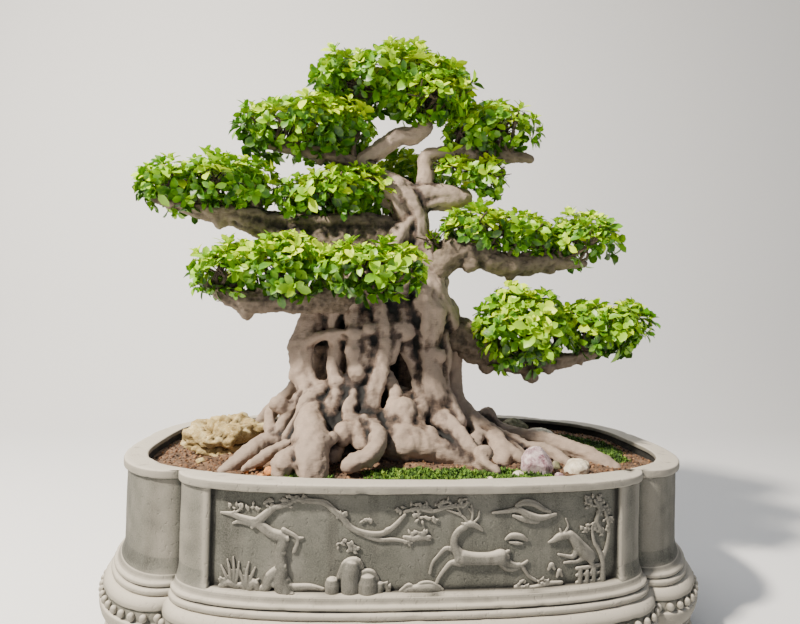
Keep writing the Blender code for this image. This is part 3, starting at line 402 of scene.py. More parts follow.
# blotch, roughness, then dark, mid, pale, fleck, and the painted shade colour of the hollows
soilEarth = fieldStone("looseAkadamaAndLoam", 0.020, 0.95, "#3E2E22", "#5F4938", "#80654E", "#937960", "#1E150E")
soilCrumbs = tintedGrain("bakedClayCrumbs", [(0.0, "#33271E"), (0.35, "#684833"), (0.65, "#8E6A4C"),
                                             (0.88, "#B0865E"), (1.0, "#CDB497")], 0.95, 0.003, 0.0006)
mossBlade = tintedGrain("liveCushionMoss", [(0.0, "#1A2C0E"), (0.4, "#38581A"), (0.75, "#648C26"), (1.0, "#A8BE48")],
                        0.85, 0.004, 0.0004)
mossBed = fieldStone("mossUnderlayer", 0.018, 0.95, "#1E2A12", "#334A1A", "#4C5E28", "#5C4A30", "#12180A")
tufaStone = fieldStone("porousTufa", 0.030, 0.92, "#7E6A3E", "#B09A66", "#D2C294", "#E2D8BE", "#40331F")
creamStone = fieldStone("tumbledCreamLimestone", 0.020, 0.85, "#B3A68E", "#D3C8B2", "#E9E0CF", "#F3ECDD", "#6B5E48")
greyStone = fieldStone("lichenedFieldStone", 0.022, 0.88, "#474A35", "#6A6650", "#938B76", "#6F8A3A", "#2A281E")
quartzStone = fieldStone("roseVeinedQuartz", 0.026, 0.45, "#5E2E3C", "#B49AA0", "#DDD0CE", "#F2ECEA", "#42222B")
ochreStone = fieldStone("ironStainedPebble", 0.010, 0.85, "#8E5226", "#BE7A3E", "#DDA060", "#E8C090", "#4A2A14")


def mouldedMesh(name):
    # moulded polypropylene drain mesh: black, a dull sheen, a 3 mm square grid pressed in
    made, tree, coords = startMaterial(name, 0.5)
    grid = addNode(tree, "ShaderNodeMapping", {"Vector": coords, "Scale": (333, 333, 0)})
    cells = addNode(tree, "ShaderNodeTexChecker", {"Vector": grid, "Scale": 1.0}).outputs["Fac"]
    colour = addNode(tree, "ShaderNodeMix", {"Factor": cells, "A": "#101112", "B": "#25272A"}, data_type="RGBA")
    return endMaterial(made, colour, addNode(tree, "ShaderNodeBump", {"Height": cells, "Strength": 0.5,
                                                                      "Distance": 0.0006}))


def packedGrains(name):
    # washed pumice, 4 to 8 mm, packed: pale rounded grains, with painted shade darkening the gaps between them
    made, tree, coords = startMaterial(name, 0.92)
    grains = addNode(tree, "ShaderNodeTexVoronoi", {"Vector": coords, "Scale": 150.0}).outputs
    tint = addNode(tree, "ShaderNodeSeparateColor", {0: grains["Color"]})
    base = addNode(tree, "ShaderNodeValToRGB", {"Fac": tint}, [(0.1, "#7E7264"), (0.5, "#A89A88"), (0.9, "#C9BDAB")])
    # painted shade between the grains
    grainGapShade = addNode(tree, "ShaderNodeValToRGB", {"Fac": grains["Distance"]}, [(0.30, 1.0), (0.62, 0.25)])
    colour = addNode(tree, "ShaderNodeMix", {"Factor": 1.0, "A": base, "B": grainGapShade}, data_type="RGBA",
                     blend_type="MULTIPLY")
    return endMaterial(made, colour, addNode(tree, "ShaderNodeBump", {
        "Height": grains["Distance"], "Strength": 0.8, "Distance": 0.002}, invert=True))


drainMesh = mouldedMesh("mouldedPolypropylene")
packedPumice = packedGrains("washedPumiceGravel")
print("materials done")


# pot: a superellipse rim with a notch near each corner, skinned from a moulding profile
pot = {
    "halfLength": 0.64, "halfDepth": 0.407, "power": 2.88, "boreHalfLength": 0.59, "boreHalfDepth": 0.364,
    "borePowers": (2.1, 3.52), "notchPlace": 0.76, "notchDepth": 0.036, "notchReach": 0.036, "top": 0.376,
    "base": 0.14, "step": 0.0065, "panelHalf": 0.394, "panelLow": 0.176, "panelHigh": 0.358,
    "endHalf": 0.12, "endLow": 0.206, "endHigh": 0.352, "recess": 0.022, "drainRadius": 0.022, "drainSpacing": 0.3,
    "wave": 0.0009, "chip": 0.0022, "wallIn": 0.008, "wallAboveFoot": 0.066, "wallBelowRim": 0.020,
    "wallRows": 22, "longSideFrom": 0.25, "endSideFrom": 0.45,
    # (out from the rim's edge, up from the pot's underside) in millimetres, from the foot to the wall
    "foot": [(10, 0.4), (14.5, 1.2), (16.8, 4), (17.2, 7), (16, 10), (12.5, 12.5), (8.8, 13.6), (8.2, 15.2),
             (10.5, 16.4), (12.4, 18.6), (12.4, 21.4), (10.5, 23.8), (7.2, 25.2), (4.6, 27), (2.2, 30), (0.6, 33.4),
             (-0.4, 35), (-1.6, 36), (-2, 37.2), (-3.4, 41), (-5.6, 47), (-7.2, 55), (-8, 64)],
    # (out from the rim's edge, down from the rim's top)
    "lip": [(-8, 18), (-5.2, 16.8), (-2, 16.2), (-0.4, 14.8), (0, 12), (0, 6), (-0.4, 2.6), (-1.6, 0.7), (-3.4, 0)],
    # (out from the bore, down from the rim's top)
    "inside": [(1.6, 0.2), (0.4, 1), (0, 3), (0, 9), (0.6, 11), (4, 11.8), (4.6, 13.6), (4.6, 60), (4.6, 120),
               (0, 192), (-6, 196)],
}


def superPoint(halfX, halfY, powerX, powerY, turn):
    c, s = math.cos(turn), math.sin(turn)
    return (math.copysign(halfX * abs(c) ** (2 / powerX), c), math.copysign(halfY * abs(s) ** (2 / powerY), s))


def makeColumns(step, edges=()):
    # evenly spaced columns round the rim: plain points, outward normals, notch depths and bore points
    count = 24000
    turns = np.linspace(0, 2 * math.pi, count, endpoint=False) + 1e-6
    plain = np.array([superPoint(pot["halfLength"], pot["halfDepth"], pot["power"], pot["power"], t) for t in turns])
    along = np.roll(plain, -1, 0) - np.roll(plain, 1, 0)
    normal = np.stack([along[:, 1], -along[:, 0]], 1)
    normal /= np.linalg.norm(normal, axis=1)[:, None]
    corner = superPoint(pot["halfLength"], pot["halfDepth"], pot["power"], pot["power"],
                        math.acos(pot["notchPlace"] ** (pot["power"] / 2)))
    away = np.hypot(abs(plain[:, 0]) - corner[0], abs(plain[:, 1]) - corner[1])
    notch = pot["notchDepth"] * np.exp(-away / pot["notchReach"])
    length = np.concatenate([[0], np.cumsum(np.linalg.norm(np.diff(plain, axis=0), axis=1))])
    special = []
    wall = plain + normal * (-pot["wallIn"] - notch)[:, None]
    for axis, place in edges:                    # panel edges: two columns a little apart
        side = np.abs(wall[:, 1 - axis]) > (pot["longSideFrom"], pot["endSideFrom"])[axis]
        sign = np.sign(np.abs(wall[:, axis]) - place)
        for k in np.nonzero((sign[:-1] != sign[1:]) & side[:-1])[0]:
            special += [length[k] - 0.0008, length[k] + 0.0008]
    low = np.nonzero((away[1:-1] < away[:-2]) & (away[1:-1] <= away[2:]) & (away[1:-1] < 0.01))[0] + 1
    for k in low:                                # fine columns in each notch
        special += [length[k] + d for d in (-0.006, -0.003, -0.0012, 0.0, 0.0012, 0.003, 0.006)]
    special = np.array(sorted(special)) % length[-1]
    even = np.arange(0, length[-1], step)
    clear = [s for s in even if len(special) == 0 or np.min(np.abs(special - s)) > step * 0.4]
    places = np.array(sorted(set(np.round(special, 6)) | set(np.round(clear, 6))))
    pick = np.array(sorted(set(np.searchsorted(length, places).clip(0, count - 1).tolist())))
    bore = np.array([superPoint(pot["boreHalfLength"], pot["boreHalfDepth"], *pot["borePowers"], turns[k])
                     for k in pick])
    return plain[pick], normal[pick], notch[pick], bore


def ringAt(columns, out):
    plain, normal, notch, _ = columns
    return plain + normal * (out - notch)[:, None]


def level(ring, z):
    return np.c_[ring, np.full(len(ring), z)]


def skin(name, rings, capBottom=True, capTop=True):
    # rings: arrays of 3-D points of equal count, from the underside up and over
    count = len(rings[0])
    points = [tuple(p) for ring in rings for p in ring]
    faces = []
    for r in range(len(rings) - 1):
        a, b = r * count, (r + 1) * count
        faces += [(a + k, a + (k + 1) % count, b + (k + 1) % count, b + k) for k in range(count)]
    for r, wanted, flip in ((0, capBottom, True), (len(rings) - 1, capTop, False)):
        if wanted:
            centre = len(points)
            points.append(tuple(np.mean(rings[r], axis=0)))
            for k in range(count):
                pair = (r * count + k, r * count + (k + 1) % count)
                faces.append((centre, *(reversed(pair) if flip else pair)))
    return newMesh(name, points, faces)


def waved(mesh, amount, size, seed=0.0, chip=0.0, edgeHeights=()):
    # uneven casting: every point moves along its normal by a smooth noise; edges lose chips
    edgeReach, chipsPerMetre, chipFrom, chipSteepness = 0.006, 38, 0.22, 2.2
    for vert, normal in zip(mesh.vertices, [v.normal.copy() for v in mesh.vertices]):
        at = vert.co / size + Vector((seed, 0, 0))
        move = amount * (noise.noise(at) + 0.5 * noise.noise(at * 2.7))
        if chip:
            near = max((1 - abs(vert.co.z - h) / edgeReach for h in edgeHeights), default=0)
            if near > 0:
                bite = noise.noise(vert.co * chipsPerMetre + Vector((7, seed, 0)))
                move -= chip * near * max(0.0, bite - chipFrom) * chipSteepness
        vert.co += normal * move


def panelFloor(x, y):
    # a recessed panel's floor below a wall point: front/back by x, ends by y
    power = pot["power"]
    if abs(x) <= pot["panelHalf"] and abs(y) > pot["longSideFrom"]:
        turn = math.acos((abs(x) / pot["halfLength"]) ** (power / 2))
        return x, math.copysign(pot["halfDepth"] * math.sin(turn) ** (2 / power) - pot["recess"], y)
    if abs(y) <= pot["endHalf"] and abs(x) > pot["endSideFrom"]:
        turn = math.asin((abs(y) / pot["halfDepth"]) ** (power / 2))
        return math.copysign(pot["halfLength"] * math.cos(turn) ** (2 / power) - pot["recess"], x), y
    return None


def makePot():
    columns = makeColumns(pot["step"], [(0, pot["panelHalf"]), (1, pot["endHalf"])])
    bore, top, base, wallOut = columns[3], pot["top"], pot["base"], -pot["wallIn"]
    heights = list(np.linspace(base + pot["wallAboveFoot"], top - pot["wallBelowRim"], pot["wallRows"]))
    for edge in (pot["endLow"], pot["endHigh"]):
        heights = [h for h in heights if abs(h - edge) > 0.004] + [edge - 0.0008, edge + 0.0008]
    levels = [(out / 1000, base + rise / 1000) for out, rise in pot["foot"]]
    levels += [(wallOut, h) for h in sorted(heights)]
    levels += [(out / 1000, top - drop / 1000) for out, drop in pot["lip"]]
    levels.sort(key=lambda row: row[1])
    outs, rises = zip(*levels)
    # the long panels' lower edge lies in the foot's last rows, their upper edge just under the lip
    levels += [(float(np.interp(z, rises, outs)), z) for z in (
        pot["panelLow"] + 0.0002, pot["panelLow"] + 0.0018, pot["panelHigh"] - 0.0002, pot["panelHigh"] - 0.0018)]
    rings = []
    for out, z in sorted(levels, key=lambda row: row[1]):
        row = []
        for x, y in ringAt(columns, out):
            isLong = abs(x) <= pot["panelHalf"] and abs(y) > pot["longSideFrom"]
            inLong = isLong and pot["panelLow"] + 0.001 < z < pot["panelHigh"] - 0.001
            inEnd = not isLong and abs(y) <= pot["endHalf"] and pot["endLow"] < z < pot["endHigh"]
            floor = panelFloor(x, y) if inLong or inEnd else None
            row.append((*(floor or (x, y)), z))
        rings.append(np.array(row))
    edge = ringAt(columns, pot["lip"][-1][0] / 1000)
    for share in (0.15, 0.35, 0.55, 0.75, 0.90):            # across the rim's top
        rings.append(level(edge * (1 - share) + bore * share, top + 0.0006 * math.sin(math.pi * share)))
    inward = bore / np.linalg.norm(bore, axis=1)[:, None]
    rings += [level(bore + inward * (out / 1000), top - drop / 1000) for out, drop in pot["inside"]]
    mesh = skin("potMesh", rings)
    waved(mesh, pot["wave"], size=0.075, seed=3.0, chip=pot["chip"],
          edgeHeights=(top - 0.001, top - 0.015, base + 0.007, base + 0.020))
    body = newObject("planterBody", mesh)
    for k in (-1, 0, 1):
        drill(body, (k * pot["drainSpacing"], 0), low=0.10, high=0.30)
    markProud(body.data, rounds=6, reach=0.0022)
    return finished(body, potConcrete, "concrete", ["pot_body"])


def drill(body, place, low, high):
    work = bmesh.new()
    bmesh.ops.create_cone(work, cap_ends=True, segments=40, radius1=pot["drainRadius"], radius2=pot["drainRadius"],
                          depth=high - low)
    bmesh.ops.translate(work, verts=work.verts, vec=(place[0], place[1], (low + high) / 2))
    bit = fromBmesh("drill", work)
    step = body.modifiers.new("drill", "BOOLEAN")
    step.operation = "DIFFERENCE"
    step.solver = "EXACT"
    step.object = bit
    frozen(body)
    removeUnits([bit])


makePot()
print("pot done")


# plinth: base mould, carved band, fillet, beaded roll
plinth = {
    "step": 0.009, "beadPitch": 0.0262, "beadHeight": 0.107, "beadOut": 0.0335, "beadRadius": 0.008,
    "scrollPitch": 0.062, "scrollHeight": 0.032, "scrollOut": 0.0215, "scrollThinning": 0.16, "scrollVoxel": 0.0016,
    # (out from the rim's edge, up from the floor) in millimetres
    "profile": [(20, 0), (28.5, 0.6), (30, 3), (30.2, 10), (28.5, 13.5), (24.5, 15), (21, 17), (20.5, 20), (21.5, 30),
                (21, 40), (21.5, 44), (25, 46), (26.2, 48), (25, 50.5), (19, 52), (15, 53.5), (15, 56), (21, 57.5),
                (27, 60.5), (31.5, 66), (35.2, 74), (37.6, 83), (38.4, 90), (38.2, 94.5), (35, 96.2), (31.2, 96.8),
                (30, 100), (29.6, 107), (28.6, 114), (27.6, 117.8), (30, 118.6), (31.8, 120), (31.2, 124), (29, 128),
                (25.2, 132.5), (20, 136.5), (15, 138.8), (9, 139.7)],
}


def pathPoints(out, z, pitch):
    # points along the offset rim at an even pitch, with the outward turn of each
    ring = ringAt(makeColumns(0.004), out)
    steps = np.linalg.norm(np.roll(ring, -1, 0) - ring, axis=1)
    length = np.concatenate([[0], np.cumsum(steps)])
    total, closed = length[-1], np.vstack([ring, ring[:1]])
    count = round(total / pitch)

    def spotAt(at):
        return np.array([np.interp(at, length, closed[:, axis]) for axis in (0, 1)])

    rows = []
    for k in range(count):
        at = total * k / count
        dx, dy = spotAt((at + 0.004) % total) - spotAt((at - 0.004) % total)
        rows.append((*spotAt(at), z, math.atan2(dy, dx)))
    return rows


def startTree(name, sizes, counts=()):
    # a tree whose inputs are a geometry, named sizes, whole numbers and a finish
    tree = bpy.data.node_groups.new(name, "GeometryNodeTree")
    labels = [("Geometry", "Geometry")] + [(label, "Float") for label in sizes]
    for label, kind in labels + [(label, "Int") for label in counts] + [("Finish", "Material")]:
        tree.interface.new_socket(label, in_out="INPUT", socket_type="NodeSocket" + kind)
    tree.interface.new_socket("Geometry", in_out="OUTPUT", socket_type="NodeSocketGeometry")
    return tree, addNode(tree, "NodeGroupInput").outputs


def endTree(tree, geometry, finish):
    real = addNode(tree, "GeometryNodeRealizeInstances", {"Geometry": geometry})
    painted = addNode(tree, "GeometryNodeSetMaterial", {"Geometry": real, "Material": finish})
    addNode(tree, "NodeGroupOutput", {"Geometry": painted})
    return tree


def copiesTree(name, unit):
    # one unit on every point of a cloud, turned to the path, then made real
    tree, start = startTree(name, ("Unit size", "Size change"), ("Seed",))
    shape = addNode(tree, "GeometryNodeObjectInfo", {"Object": unit, "As Instance": True}).outputs["Geometry"]
    turn = addNode(tree, "GeometryNodeInputNamedAttribute", {"Name": "turn"}, data_type="FLOAT")
    euler = addNode(tree, "ShaderNodeCombineXYZ", {"Z": turn})
    chance = addNode(tree, "FunctionNodeRandomValue", {"Min": -1.0, "Max": 1.0, "Seed": start["Seed"]},
                     data_type="FLOAT")
    grow = addNode(tree, "ShaderNodeMath", {0: chance, 1: start["Size change"], 2: start["Unit size"]},
                   operation="MULTIPLY_ADD")
    put = addNode(tree, "GeometryNodeInstanceOnPoints", {"Points": start["Geometry"], "Instance": shape,
                                                         "Rotation": euler, "Scale": grow})
    return endTree(tree, put, start["Finish"])


def setInputs(modifier, values):
    # sets a modifier's inputs by socket identifier
    for item in modifier.node_group.interface.items_tree:
        if item.item_type == "SOCKET" and item.in_out == "INPUT" and item.name in values:
            modifier[item.identifier] = values[item.name]


def roundBead(radius):
    work = bmesh.new()
    bmesh.ops.create_uvsphere(work, u_segments=12, v_segments=8, radius=radius)
    for vert in work.verts:
        vert.co.y *= 0.85
    return fromBmesh("beadUnit", work)


def tubeRings(points, sides, most=14):
    # a closed tube along (x, y, z, radius) points, smoothed by a Catmull-Rom line of at most so many steps a stretch
    knots = np.array(points, float)
    rows = []
    for k in range(len(knots) - 1):
        a, b = knots[k], knots[k + 1]
        before = knots[k - 1] if k else 2 * a - b
        after = knots[k + 2] if k + 2 < len(knots) else 2 * b - a
        size = max(min(a[3], b[3]) * 0.8, 1e-4)
        steps = int(min(most, max(3, np.linalg.norm(b[:3] - a[:3]) / size)))
        for t in np.arange(steps) / steps:
            rows.append(0.5 * (2 * a + (b - before) * t + (2 * before - 5 * a + 4 * b - after) * t * t
                               + (3 * a - before - 3 * b + after) * t ** 3))
    rows.append(knots[-1])
    rows = np.array(rows)
    rows[:, 3] = np.maximum(rows[:, 3], 1e-4)
    ahead = np.gradient(rows[:, :3], axis=0)
    ahead /= np.maximum(np.linalg.norm(ahead, axis=1), 1e-9)[:, None]
    side = np.cross(ahead[0], (0.31, 0.22, 0.92))
    side /= np.linalg.norm(side)
    verts = []
    turns = np.linspace(0, 2 * math.pi, sides, endpoint=False)

    def ring(row, way, across, up, past=0):
        # past is how far the ring lies round the tube's rounded end, in degrees
        centre = row[:3] + way * row[3] * math.sin(math.radians(past))
        radius = row[3] * math.cos(math.radians(past))
        for t in turns:
            verts.append(centre + (across * math.cos(t) + up * math.sin(t)) * radius)

    for index, row in enumerate(rows):
        side = side - ahead[index] * side.dot(ahead[index])
        side /= max(np.linalg.norm(side), 1e-9)
        up = np.cross(ahead[index], side)
        if index == 0:
            for past in (70, 40):
                ring(row, -ahead[index], side, up, past)
        ring(row, ahead[index], side, up)
        if index == len(rows) - 1:
            for past in (40, 70):
                ring(row, ahead[index], side, up, past)
    count = len(verts) // sides
    faces = [(r * sides + k, r * sides + (k + 1) % sides, (r + 1) * sides + (k + 1) % sides, (r + 1) * sides + k)
             for r in range(count - 1) for k in range(sides)]
    faces.append(tuple(reversed(range(sides))))
    faces.append(tuple((count - 1) * sides + k for k in range(sides)))
    return verts, faces


def joined(name, parts):
    points, faces = [], []
    for verts, polys in parts:
        base = len(points)
        points += [tuple(v) for v in verts]
        faces += [tuple(base + k for k in poly) for poly in polys]
    return newMesh(name, points, faces)


def fused(obj, voxel, smooth=2):
    # overlapping closed shapes become one skin
    remesh = obj.modifiers.new("remesh", "REMESH")
    remesh.mode = "VOXEL"
    remesh.voxel_size = voxel
    if smooth:
        soften = obj.modifiers.new("soften", "SMOOTH")
        soften.factor = 0.5
        soften.iterations = smooth
    return frozen(obj)


def scrollUnit():
    # one cloud scroll of the carved band, lying in the x-z plane, front at -y
    strokes = []
    for mirror in (-1, 1):
        curl = []
        for k in range(11):
            turn = math.radians(-60 + 42 * k)
            reach = 0.0105 * (1 - k / 13)
            curl.append((mirror * (0.0125 + reach * math.cos(turn) * 0.9), 0.0, reach * math.sin(turn), 0.0021))
        strokes.append(tubeRings(curl, sides=6))
        strokes.append(tubeRings([(mirror * 0.029, 0, -0.010, 0.0022), (mirror * 0.020, 0, -0.0115, 0.0026),
                                  (mirror * 0.008, 0, -0.009, 0.0024), (0, 0, -0.003, 0.0030)], 6))
    strokes.append(tubeRings([(0, 0, -0.004, 0.0034), (0, 0, 0.004, 0.0040), (0, 0, 0.011, 0.0016)], 6))
    unit = newObject("scrollUnit", joined("scroll", strokes))
    fused(unit, plinth["scrollVoxel"], smooth=1)
    unit.modifiers.new("thin", "DECIMATE").ratio = plinth["scrollThinning"]
    return frozen(unit)


def makePlinth():
    columns = makeColumns(plinth["step"])
    rings = [level(ringAt(columns, out / 1000), rise / 1000) for out, rise in plinth["profile"]]
    body = newObject("plinthBody", skin("plinthMesh", rings))
    waved(body.data, 0.0008, size=0.06, seed=9.0, chip=0.0018, edgeHeights=(0.012, 0.048, 0.0955, 0.1195))
    for k in (-1, 0, 1):
        drill(body, (k * pot["drainSpacing"], 0), -0.05, 0.20)
    markProud(body.data, rounds=5, reach=0.003)
    finished(body, potConcrete, "concrete", ["plinth"])
    for name, unit, pitch, z, out, change in (
            ("plinthBeads", roundBead(plinth["beadRadius"]), plinth["beadPitch"], plinth["beadHeight"],
             plinth["beadOut"], 0.05),
            ("plinthScrolls", scrollUnit(), plinth["scrollPitch"], plinth["scrollHeight"], plinth["scrollOut"], 0.0)):
        rows = pathPoints(out, z, pitch)
        cloud = newMesh(name + "Path", [row[:3] for row in rows], [])
        cloud.attributes.new("turn", "FLOAT", "POINT").data.foreach_set("value", [row[3] for row in rows])
        copies = newObject(name, cloud)
        work = copies.modifiers.new("copies", "NODES")
        work.node_group = copiesTree(name + "Copies", unit)
        setInputs(work, {"Unit size": 1.0, "Size change": change, "Seed": 4, "Finish": potConcrete})
        frozen(copies, name)
        waved(copies.data, 0.0005, size=0.012, seed=2.0)
        markProud(copies.data, rounds=4, reach=0.002)
        finished(copies, potConcrete, "concrete")
        removeUnits([unit])


makePlinth()
print("plinth done")


# tree: (x, y, height above the rim, radius) in millimetres, one list for each root or limb
trunkRoutes = {
    "left column": [(-190, -10, 400, 34), (-220, -20, 340, 32), (-240, -40, 290, 29), (-260, -60, 230, 28),
        (-250, -70, 170, 24), (-230, -90, 120, 26), (-210, -110, 50, 30), (-200, -120, -20, 30)],
    "arch root": [(-255, -70, 235, 14), (-230, -80, 262, 13), (-185, -90, 272, 14), (-135, -90, 273, 19)],
    "core left": [(-130, 0, 400, 66), (-160, 20, 270, 70), (-165, 20, 170, 70), (-155, 20, 70, 76),
        (-145, 20, -30, 80)],
    "core middle": [(-80, 20, 400, 70), (-85, 40, 270, 70), (-85, 50, 170, 70), (-80, 50, 70, 76),
        (-80, 30, -30, 80)],
    "core right": [(-10, 20, 420, 72), (0, 30, 300, 70), (0, 50, 200, 60), (-5, 40, 90, 70), (-10, 30, -30, 80)],
    "middle column": [(-135, -50, 350, 24), (-130, -90, 270, 24), (-125, -100, 180, 26), (-135, -100, 130, 26),
        (-155, -120, 30, 28), (-155, -120, -30, 28)],
    "smooth root": [(-80, -60, 370, 22), (-70, -90, 300, 21), (-67, -100, 240, 20), (-78, -110, 180, 21),
        (-95, -120, 120, 23), (-95, -130, 60, 28), (-95, -130, 0, 30)],
    "right burl": [(60, -20, 430, 38), (47, -60, 370, 39), (49, -70, 310, 37), (46, -70, 250, 29), (53, -80, 190, 29),
        (60, -90, 120, 34), (67, -100, 20, 34)],
    "middle burl": [(-20, -40, 380, 30), (-12, -70, 310, 29), (-11, -70, 270, 24), (7, -70, 210, 14),
        (30, -70, 160, 15)],
    "right leg": [(100, 0, 340, 36), (120, 0, 250, 28), (121, 0, 187, 24), (123, -10, 121, 25), (143, -30, 69, 33),
        (183, -60, 30, 35), (223, -100, 0, 29), (251, -140, -24, 21)],
    "leg's shoulder": [(20, 10, 360, 40), (80, 0, 320, 40), (115, 0, 280, 34)],
    "thumb": [(-220, -120, 90, 30), (-228, -170, 72, 34), (-218, -220, 43, 37), (-214, -255, 14, 34),
        (-212, -275, -22, 32)],
    "round end": [(-230, -210, 25, 24), (-272, -255, 2, 24), (-276, -265, -23, 20)],
    "left root": [(-210, -100, 40, 28), (-268, -120, 21, 23), (-320, -130, 21, 20), (-348, -170, 10, 18),
        (-376, -200, -9, 15), (-404, -220, -27, 12)],
    "stub": [(-330, -60, 82, 12), (-325, -90, 47, 13), (-313, -120, 19, 16)],
    "diagonal root": [(-245, -80, 130, 18), (-281, -100, 82, 14), (-300, -120, 44, 14), (-311, -130, 14, 14)],
    "far left root": [(-170, 20, 150, 30), (-260, 20, 144, 23), (-302, 40, 95, 23), (-334, 50, 73, 21),
        (-360, 60, 35, 21), (-393, 80, -15, 18)],
    "lying mass": [(-142, -140, 44, 23), (-81, -150, 33, 32), (-23, -170, 28, 38), (26, -170, 20, 31),
        (89, -180, 0, 20), (137, -190, -24, 14)],
    "capped knob": [(-18, -60, 119, 28), (-15, -130, 89, 30), (-19, -160, 53, 27)],
    "comma root": [(-100, -140, 72, 21), (-79, -200, 52, 20), (-84, -240, 26, 21), (-113, -260, 10, 19),
        (-140, -270, 1, 16)],
    "lump column": [(-157, -100, 139, 21), (-178, -130, 111, 18), (-183, -150, 73, 18), (-166, -170, 37, 20),
        (-173, -190, 0, 18)],
    "right root": [(52, -100, 85, 26), (90, -140, 59, 21), (120, -180, 31, 18), (143, -200, -5, 14)],
    "long right root": [(140, -10, 60, 32), (228, 0, 29, 26), (280, -20, 18, 20), (343, -60, 12, 20),
        (391, -100, 3, 19), (439, -140, -12, 18), (475, -170, -35, 14)],
    "thin right root": [(200, -40, 30, 24), (277, -100, 10, 14), (325, -120, 4, 13), (354, -160, -12, 12),
        (370, -180, -28, 10)],
    "pale tip": [(165, -100, 35, 16), (145, -170, 20, 12), (150, -230, 0, 11), (176, -250, -16, 10)],
    "knot": [(188, -60, 35, 24), (211, -130, 5, 26), (210, -170, -16, 20)],
    "back left root": [(-130, 80, 83, 40), (-200, 150, 40, 34), (-275, 200, -3, 24), (-321, 220, -30, 16)],
    "back right root": [(16, 80, 98, 40), (110, 150, 47, 32), (221, 190, 0, 24), (290, 210, -22, 16)],
    "back middle root": [(-60, 70, 200, 45), (-55, 130, 67, 39), (-68, 200, -3, 26)],
    "back left column": [(-130, 50, 360, 40), (-170, 90, 220, 32), (-180, 100, 80, 34), (-190, 110, -20, 34)],
    "back right column": [(20, 60, 360, 38), (40, 100, 220, 30), (50, 110, 80, 32), (60, 120, -20, 32)],
    "right knob": [(190, 20, 40, 24), (225, 40, 60, 19)],
    "waist": [(-68, 0, 352, 76), (-34, 0, 424, 77), (-9, 0, 481, 61), (5, 0, 543, 50), (-7, 0, 610, 50),
        (-39, 0, 649, 45), (-85, 0, 678, 31)],
    "right fork": [(-7, 0, 620, 36), (44, 0, 637, 33), (101, 0, 640, 34), (138, 0, 641, 26)],
    "left fork": [(-85, 0, 678, 31), (-122, 0, 718, 25), (-87, 0, 755, 23), (-31, 0, 796, 23), (5, 0, 801, 23),
        (35, 0, 823, 21)],
    "riser": [(34, 0, 647, 23), (40, 0, 694, 21), (39, 0, 746, 18), (78, 0, 760, 16), (125, 0, 765, 21)],
    "scar left": [(-209, -80, 136, 14), (-196, -120, 91, 16), (-203, -150, 50, 16)],
    "scar middle": [(-129, -120, 133, 16), (-141, -150, 96, 16), (-127, -180, 61, 18), (-109, -200, 30, 17)],
    "inner root": [(-53, -80, 176, 14), (-35, -110, 137, 16), (-45, -130, 98, 16), (-55, -160, 53, 18)],
    "second inner root": [(20, -80, 158, 14), (31, -110, 119, 16), (15, -140, 72, 18), (26, -170, 33, 18)],
    "hanging root": [(85, -50, 279, 17), (90, -60, 216, 17), (84, -70, 158, 17), (97, -90, 112, 19),
        (121, -120, 70, 16)],
    "strand one": [(-99, -40, 349, 20), (-109, -90, 295, 19), (-103, -100, 243, 17), (-107, -110, 202, 16)],
    "strand two": [(-45, -40, 361, 22), (-51, -80, 306, 19), (-41, -90, 254, 17), (-45, -90, 211, 14)],
    "strand three": [(-172, -50, 347, 24), (-185, -60, 298, 19), (-174, -80, 246, 17), (-182, -90, 199, 17),
        (-171, -100, 153, 19)],
    "heel": [(-204, -90, 142, 19), (-238, -120, 109, 21), (-253, -140, 71, 18), (-274, -150, 37, 18)],
    "toe right": [(76, -140, 27, 18), (108, -170, 20, 16), (139, -200, -9, 13), (163, -230, -18, 9)],
    "toe far right": [(167, -40, 31, 20), (209, -80, 15, 19), (252, -120, -5, 19), (283, -160, -28, 14)],
    "toe left": [(-243, -140, 26, 18), (-278, -180, 21, 15), (-316, -210, 6, 13), (-355, -240, -15, 8)],
    "neck strand one": [(-38, -60, 429, 24), (-77, -70, 388, 24), (-100, -60, 349, 22)],
    "neck strand two": [(22, -50, 446, 25), (56, -60, 397, 27), (84, -50, 354, 25), (108, -30, 305, 23)],
    "neck strand three": [(-9, -30, 563, 23), (-39, -50, 508, 25), (-53, -60, 457, 27), (-67, -60, 408, 24)],
    "neck strand four": [(13, -20, 550, 23), (38, -30, 504, 23), (42, -50, 447, 25)],
    "toe knot": [(189, -100, 28, 14), (217, -140, 13, 16), (247, -170, -7, 14)],
}
trunkKnobs = [(46, -75, 342, 41), (-13, -85, 288, 29), (-132, -105, 276, 19), (-133, -105, 234, 19),
    (-99, -105, 288, 16), (-125, -115, 185, 26), (-170, -120, 125, 21), (-178, -130, 88, 21), (-154, -150, 73, 18),
    (-18, -140, 91, 32), (-153, -190, 52, 24), (-109, -160, 75, 18), (217, 0, 67, 21), (206, -150, 2, 23),
    (-304, -100, 103, 23), (-67, -30, 500, 30), (-24, -40, 530, 27), (28, -30, 489, 30), (-47, -50, 444, 32),
    (12, -50, 426, 30), (154, 0, 754, 28), (-177, -220, 47, 15), (-269, -270, 3, 20), (156, -220, 18, 17),
    (-20, -180, 24, 31), (36, -160, 40, 25), (-138, -60, 348, 29), (-186, -50, 318, 24), (-215, -20, 236, 20),
    (-263, -70, 172, 21), (70, -90, 227, 19), (83, -80, 147, 19), (121, -20, 279, 20), (-169, -50, 182, 17)]
